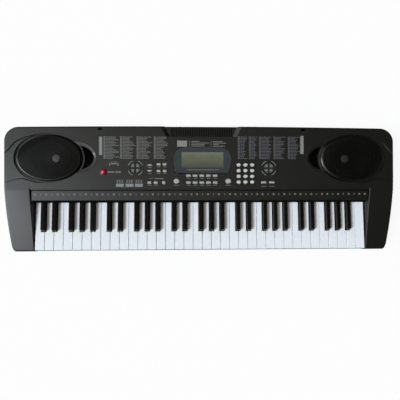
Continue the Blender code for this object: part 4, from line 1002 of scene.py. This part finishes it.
# Display
# A dark blue tinted window in the shape of a shield, let into the panel, with the grey-green liquid
# crystal display behind its clear opening.
lens_low, lens_high, cell_low, cell_high = -0.0013, 0.0006, -0.0004, 0.00005
wiped = ((0.014, 0.021, 0.028), (0.025, 0.033, 0.043))
tinted = clouded("tinted_window", wiped, (0.12, 0.24), ((14, 3, 1),))
lens = prism(lens_outline, lens_low, lens_high)
upright = [e for e in lens.edges if abs(e.verts[0].co.z - e.verts[1].co.z) > 0.001]
round_edges(lens, upright, 0.0022, 4)
lens = mesh_of(round_rim(lens, 0.0005, 3), panel)
lens = combined(lens, "DIFFERENCE", [on_panel(rounded((0, window_up), window_size, 0.0012), cell_low, reach)])
piece("display_window", lens, tinted, replaces=["lcd_window"])


def liquid_crystal():
    """The display's cell: grey-green, with a painted reflection that brightens it towards its top edge, and a
    very fine grain.
    """
    finish = Finish("display_cell", (0.10, 0.11, 0.08), 0.2, {"Coat Weight": 0.5, "Coat Roughness": 0.08})
    up = finish.node("ShaderNodeSeparateXYZ", inputs={"Vector": finish.place}, output="Y")
    height = (up - (panel_front + window_up - window_size[1] / 2)) * (1 / window_size[1])
    # Painted reflection: the colour goes from dark at the cell's foot to bright at its top, mixed with some
    # random tone.
    painted_reflection_and_tone = height * 0.7 + finish.noise(22, 2) * 0.3
    finish.vary({"Base Color": finish.mix(painted_reflection_and_tone, (0.019, 0.021, 0.018, 1), (0.152, 0.162, 0.106, 1))})
    finish.bump(finish.noise(2500, 0), 0.00001)
    return finish.material


cell = round_rim(prism(rounded((0, window_up), (0.1012, 0.0374), 0.0010), cell_low, cell_high), 0.0001, 1)
piece("display_cell", mesh_of(cell, panel), liquid_crystal())

segment_ink = ink("segment_ink", (0.055, 0.060, 0.045))
segments_lit = {0: "abcdef", 1: "bc", 2: "abged"}
segment_places = {
    "a": (0.1, 1.78, 0.8, 0),
    "b": (0.86, 1.0, 0, 0.78),
    "c": (0.86, 0.12, 0, 0.78),
    "d": (0.1, 0, 0.8, 0),
    "e": (0, 0.12, 0, 0.78),
    "f": (0, 1.0, 0, 0.78),
    "g": (0.1, 0.89, 0.8, 0),
}
digit_size, digit_pitch, digit_up, chart_up = 0.0052, 0.0072, 0.074, 0.0585
segment_line = digit_size * 0.16


def digits(left, numbers):
    """Seven-segment numerals in a row."""
    shapes = []
    for i, number in enumerate(numbers):
        x = left + i * digit_pitch
        for name in segments_lit[number]:
            right, up, wide, tall = [digit_size * share for share in segment_places[name]]
            shapes.append(bar(x + right, digit_up + up, wide or segment_line, tall or segment_line))
    return shapes


segments = digits(-0.041, (1, 2, 0)) + digits(0.016, (0, 0, 1))
for i in range(5):
    segments.append(bar(-0.016, chart_up + 0.0022 * i, 0.052, 0.0003))
for i in range(16):
    segments.append(bar(-0.041 + 0.0014 * i, chart_up, 0.0010, 0.0016 + 0.0008 * (i % 5)))
on_cell = panel @ Matrix.Translation((0, 0, cell_high))
print_on("display_segments", segments, segment_ink, on_cell)

# Buttons
# Silicone rubber caps in pale grey, moulded on one web for each block, which stand out of the panel.
web_low, web_high, web_margin, web_corner = -wall - 0.0018, -wall - 0.0006, 0.0016, 0.0015
cap_step, cap_height, cap_slope = 0.0004, 0.0028, 0.0013


def silicone(name, colour, roughness=0.5):
    """Soft rubber with faint handling marks."""
    tones, rough = toned(colour, 0.86, 1), (roughness - 0.06, roughness + 0.08)
    return clouded(name, tones, rough, ((160, 3, 1),), (1100, 1, 0.00003))


def button_group(name, outlines, finish):
    """A block of caps on their web. Each cap is domed slightly towards its middle."""
    xs, ys = zip(*[point for outline in outlines for point in outline])
    centre = ((min(xs) + max(xs)) / 2, (min(ys) + max(ys)) / 2)
    size = (max(xs) - min(xs) + 2 * web_margin, max(ys) - min(ys) + 2 * web_margin)
    shapes = [prism(rounded(centre, size, web_corner), web_low, web_high)]
    for outline in outlines:
        cap = prism(outline, web_high - 0.0002, cap_step)
        top = max(cap.faces, key=lambda face: face.calc_center_median().z)
        bmesh.ops.inset_region(cap, faces=[top], thickness=cap_slope, depth=cap_height - cap_step)
        shapes.append(round_rim(cap, 0.0010, 4))
    piece(name + "_caps", gathered(shapes, panel), finish, name, [name])


pale_rubber = silicone("pale_rubber", (0.38, 0.39, 0.365))
bright_rubber = silicone("bright_rubber", (0.58, 0.60, 0.545))
button_group("menu_buttons", menu_caps, pale_rubber)
button_group("number_buttons", number_caps, bright_rubber)
button_group("record_buttons", record_caps, pale_rubber)
button_group("function_buttons", function_caps, pale_rubber)

# Power button
# A domed cap in glossy red plastic with a faint swirl, in a collar whose darker red is painted shade beside
# the cap.
reds, coat = ((0.46, 0.010, 0.036), (0.62, 0.020, 0.055)), {"Coat Weight": 0.5, "Coat Roughness": 0.1}
red = clouded("red_plastic", reds, (0.18, 0.28), ((260, 2, 1),), constants=coat)
dome = [(0, 0.0050), (0.0022, 0.0048), (0.0040, 0.0041), (0.0052, 0.0029), (0.0057, 0.0014)]
dome += [(0.0057, web_high), (0.0072, web_high), (0.0072, web_low), (0, web_low)]
red_cap = mesh_of(turned(dome, (*power_place, 0), 48), panel)
piece("power_button_cap", red_cap, red, "power_button", ["power_button"])
collar = [(0.0063, -0.0010), (0.0063, 0.0012), (0.0068, 0.0016), (0.0078, 0.0014), (0.0084, 0.0004)]
collar += [(0.0084, -0.0010), collar[0]]
# Painted shade: the collar's dark red stands in for the shade at the side of the raised cap.
collar_red_painted_shade = moulded_plastic("collar_plastic_painted_shade", (0.085, 0.006, 0.010), 0.35)
piece("power_collar", mesh_of(turned(collar, (*power_place, 0), 48), panel), collar_red_painted_shade)

# Drum pads
# Two round pads in dark rubber. Each carries four grey quarters, parted by a crossed groove, with a
# printed icon on each quarter.
quarter_out, quarter_radius, quarter_low, quarter_high = 0.0020 * math.sqrt(2), 0.0092, -0.0016, 0.0015
icon_out, icon_half = 0.0072, (0.0015, 0.0013)
pad_rubber = silicone("pad_rubber", (0.085, 0.095, 0.085), 0.55)
pad_black = silicone("pad_base_rubber", (0.003, 0.003, 0.003), 0.7)
icon_ink = ink("icon_ink", (0.30, 0.32, 0.31))


def outward(centre, distance, turn):
    """The point at a distance from a centre, in a direction in degrees."""
    return arc(centre, distance, turn, turn, 1)[0]


for place, word in zip(pad_places, ("left", "right")):
    node = "drum_pads_" + word
    base = prism(circle(place, pad_radius, 56), web_high, quarter_low + 0.0002)
    web = prism(rounded(place, (0.0284, 0.0284), web_corner), web_low, web_high)
    piece(node + "_base", gathered([base, web], panel), pad_black, node, [node])
    quarters, icons = [], []
    for i in range(4):
        turn = 45 + 90 * i
        centre = outward(place, quarter_out, turn)
        wedge = [centre, *arc(centre, quarter_radius, turn - 45, turn + 45, 12)]
        quarters.append(round_rim(prism(wedge, quarter_low, quarter_high), 0.0005, 3))
        icon = ellipse(outward(place, icon_out, turn), *icon_half, 5 + i)
        icons.append(prism(icon, quarter_high - 0.00005, quarter_high + 0.00008))
    piece(node + "_caps", gathered(quarters, panel), pad_rubber, node)
    piece(node + "_icons", gathered(icons, panel), icon_ink, node)

# Printing
# Labels, lists and icons screen-printed on the panel in pale ink. They are plain bars and plain shapes.
random.seed(61)
pale_ink = ink("pale_ink", (0.16, 0.16, 0.16))
cool_ink = ink("cool_ink", (0.105, 0.105, 0.120))
white_ink = ink("white_ink", (0.235, 0.245, 0.235))
list_low, list_rows, list_text, list_number = 0.0734, 16, 0.0066, 0.0052


def printed_list(columns, high):
    """A printed list in columns: a short bar, then a line of bars of varied length, in each row."""
    shapes = []
    pitch = (high - list_low) / list_rows
    for left, right in columns:
        for row in range(list_rows):
            y = high - pitch * (row + 0.8)
            shapes.append(bar(left, y, list_number, pitch * 0.62))
            x = left + list_text
            end = x + (right - left - list_text) * random.uniform(0.45, 1.0)
            while x < end - 0.001:
                width = min(random.uniform(0.0022, 0.0060), end - x)
                shapes.append(bar(x, y, width, pitch * 0.48))
                x += width + 0.0009
    return shapes


left_columns = [(-0.2367, -0.1986), (-0.1974, -0.1587), (-0.1579, -0.1210), (-0.1170, -0.0830)]
right_columns = [(0.0855, 0.1099), (0.1129, 0.1333), (0.1373, 0.1694), (0.1728, 0.2045), (0.2079, 0.2377)]
print_on("list_left", printed_list(left_columns, 0.1280), pale_ink, panel)
print_on("list_right", printed_list(right_columns, 0.1290), cool_ink, panel)
headings = [bar(-0.2470, 0.0831, 0.0074, 0.0437), bar(0.2386, 0.0864, 0.0080, 0.0441)]
print_on("list_headings", headings, white_ink, panel)

label_places, label_width, title_up, title_height = (-0.2070, -0.1840, -0.1620), 0.0185, 0.1034, 0.0145
labels = [bar(x, 0.0068, label_width, 0.0074) for x in label_places]
labels += [bar(-0.2280, 0.0412, 0.0170, 0.0022), bar(-0.0610, title_up, 0.0240, title_height)]
for place in pad_places:
    for turn in (45, 135, 225, 315):
        inner_arc = arc(place, 0.0172, turn + 24, turn - 24, 8)
        labels.append(arc(place, 0.0186, turn - 24, turn + 24, 8) + inner_arc)
print_on("panel_labels", labels, white_ink, panel)

line = 0.0013
small_print = [bar(x, title_up, 0.0012, title_height) for x in (-0.0316, 0.0204)]
for row in range(4):
    y = title_up + 0.0006 + 0.0037 * row
    small_print.append(bar(-0.0266, y, 0.0150 + 0.0290 * random.random(), 0.0018))
    small_print.append(bar(0.0255, y, 0.0140 + 0.0200 * random.random(), 0.0018))
captions = (
    (menu_places, 0.0045, 0.0074),
    (dial_places + record_places, 0.0065, 0.0105),
    (mode_places + arrow_places + start_places, 0.0042, 0.0070),
)
for places, half, drop in captions:
    small_print += [bar(x - half, y - drop, 2 * half, line) for x, y in places]
for x in label_places:
    small_print += [bar(x + 0.0022 + 0.0058 * i, 0.0165, 0.0020, 0.0065) for i in range(3)]
small_print += [bar(-0.1275, 0.0262, 0.0080, line), bar(-0.1150, 0.0255, 0.0210, 0.0022)]
small_print += [bar(x, 0.0573, 0.0030, 0.0060) for x in (-0.2235, -0.2035)]
small_print += [bar(-0.2205, 0.0655, 0.0170, 0.0012), bar(-0.2190, 0.0605, 0.0140, 0.0030)]
small_print += [bar(x, 0.0400, 0.0050, 0.0045) for x in (-0.2080, -0.2010)]
tints = [bar(x, 0.0150, label_width, 0.0095) for x in label_places]
tint_ink = ink("tint_ink", (0.018, 0.028, 0.036))
print_on("label_tints", tints, tint_ink, panel @ Matrix.Translation((0, 0, -0.00003)))
print_on("small_print", small_print, pale_ink, panel)

yellow_ink = ink("yellow_ink", (0.22, 0.23, 0.12))
ticks = [bar(-0.0385 + 0.0052 * i, 0.0470, 0.0040, 0.0014) for i in range(15)]
print_on("window_ticks", ticks, yellow_ink, panel @ Matrix.Translation((0, 0, lens_high)))

# Boards and key frame
# The circuit boards and the frame under the keys stay as the CAD has them. Only their edges and the
# sockets' noses can be seen, through the holes at the back.
greens = ((0.014, 0.070, 0.034), (0.030, 0.120, 0.060))
repaint("panel_board", clouded("board_green", greens, (0.45, 0.45), ((320, 2, 1),)))
repaint("main_board", moulded_plastic("socket_plastic", (0.014, 0.014, 0.014), 0.4))
repaint("key_frame", moulded_plastic("frame_plastic", (0.11, 0.11, 0.115), 0.6))

# Socket rings
# Three nickel-plated rings at the back of the case, one round each plug socket and the power inlet.
ring = [(0.0034, -0.0002), (0.0034, 0.0010), (0.0042, 0.0014), (0.0058, 0.0014), (0.0064, 0.0009)]
ring += [(0.0064, -0.0002), ring[0]]
nickel = metal("nickel_plate", (0.66, 0.65, 0.62), 0.25)
rings = []
for x in socket_x:
    back = rear - rear_bow * (x / (half_width - rear_corner)) ** 2
    plated_ring = turned(ring, (0, 0, 0), 40)
    place = Matrix.Translation((x, back - 0.0016, socket_height)) @ across_back
    bmesh.ops.transform(plated_ring, verts=plated_ring.verts, matrix=place)
    rings.append(plated_ring)
piece("socket_rings", gathered(rings), nickel)
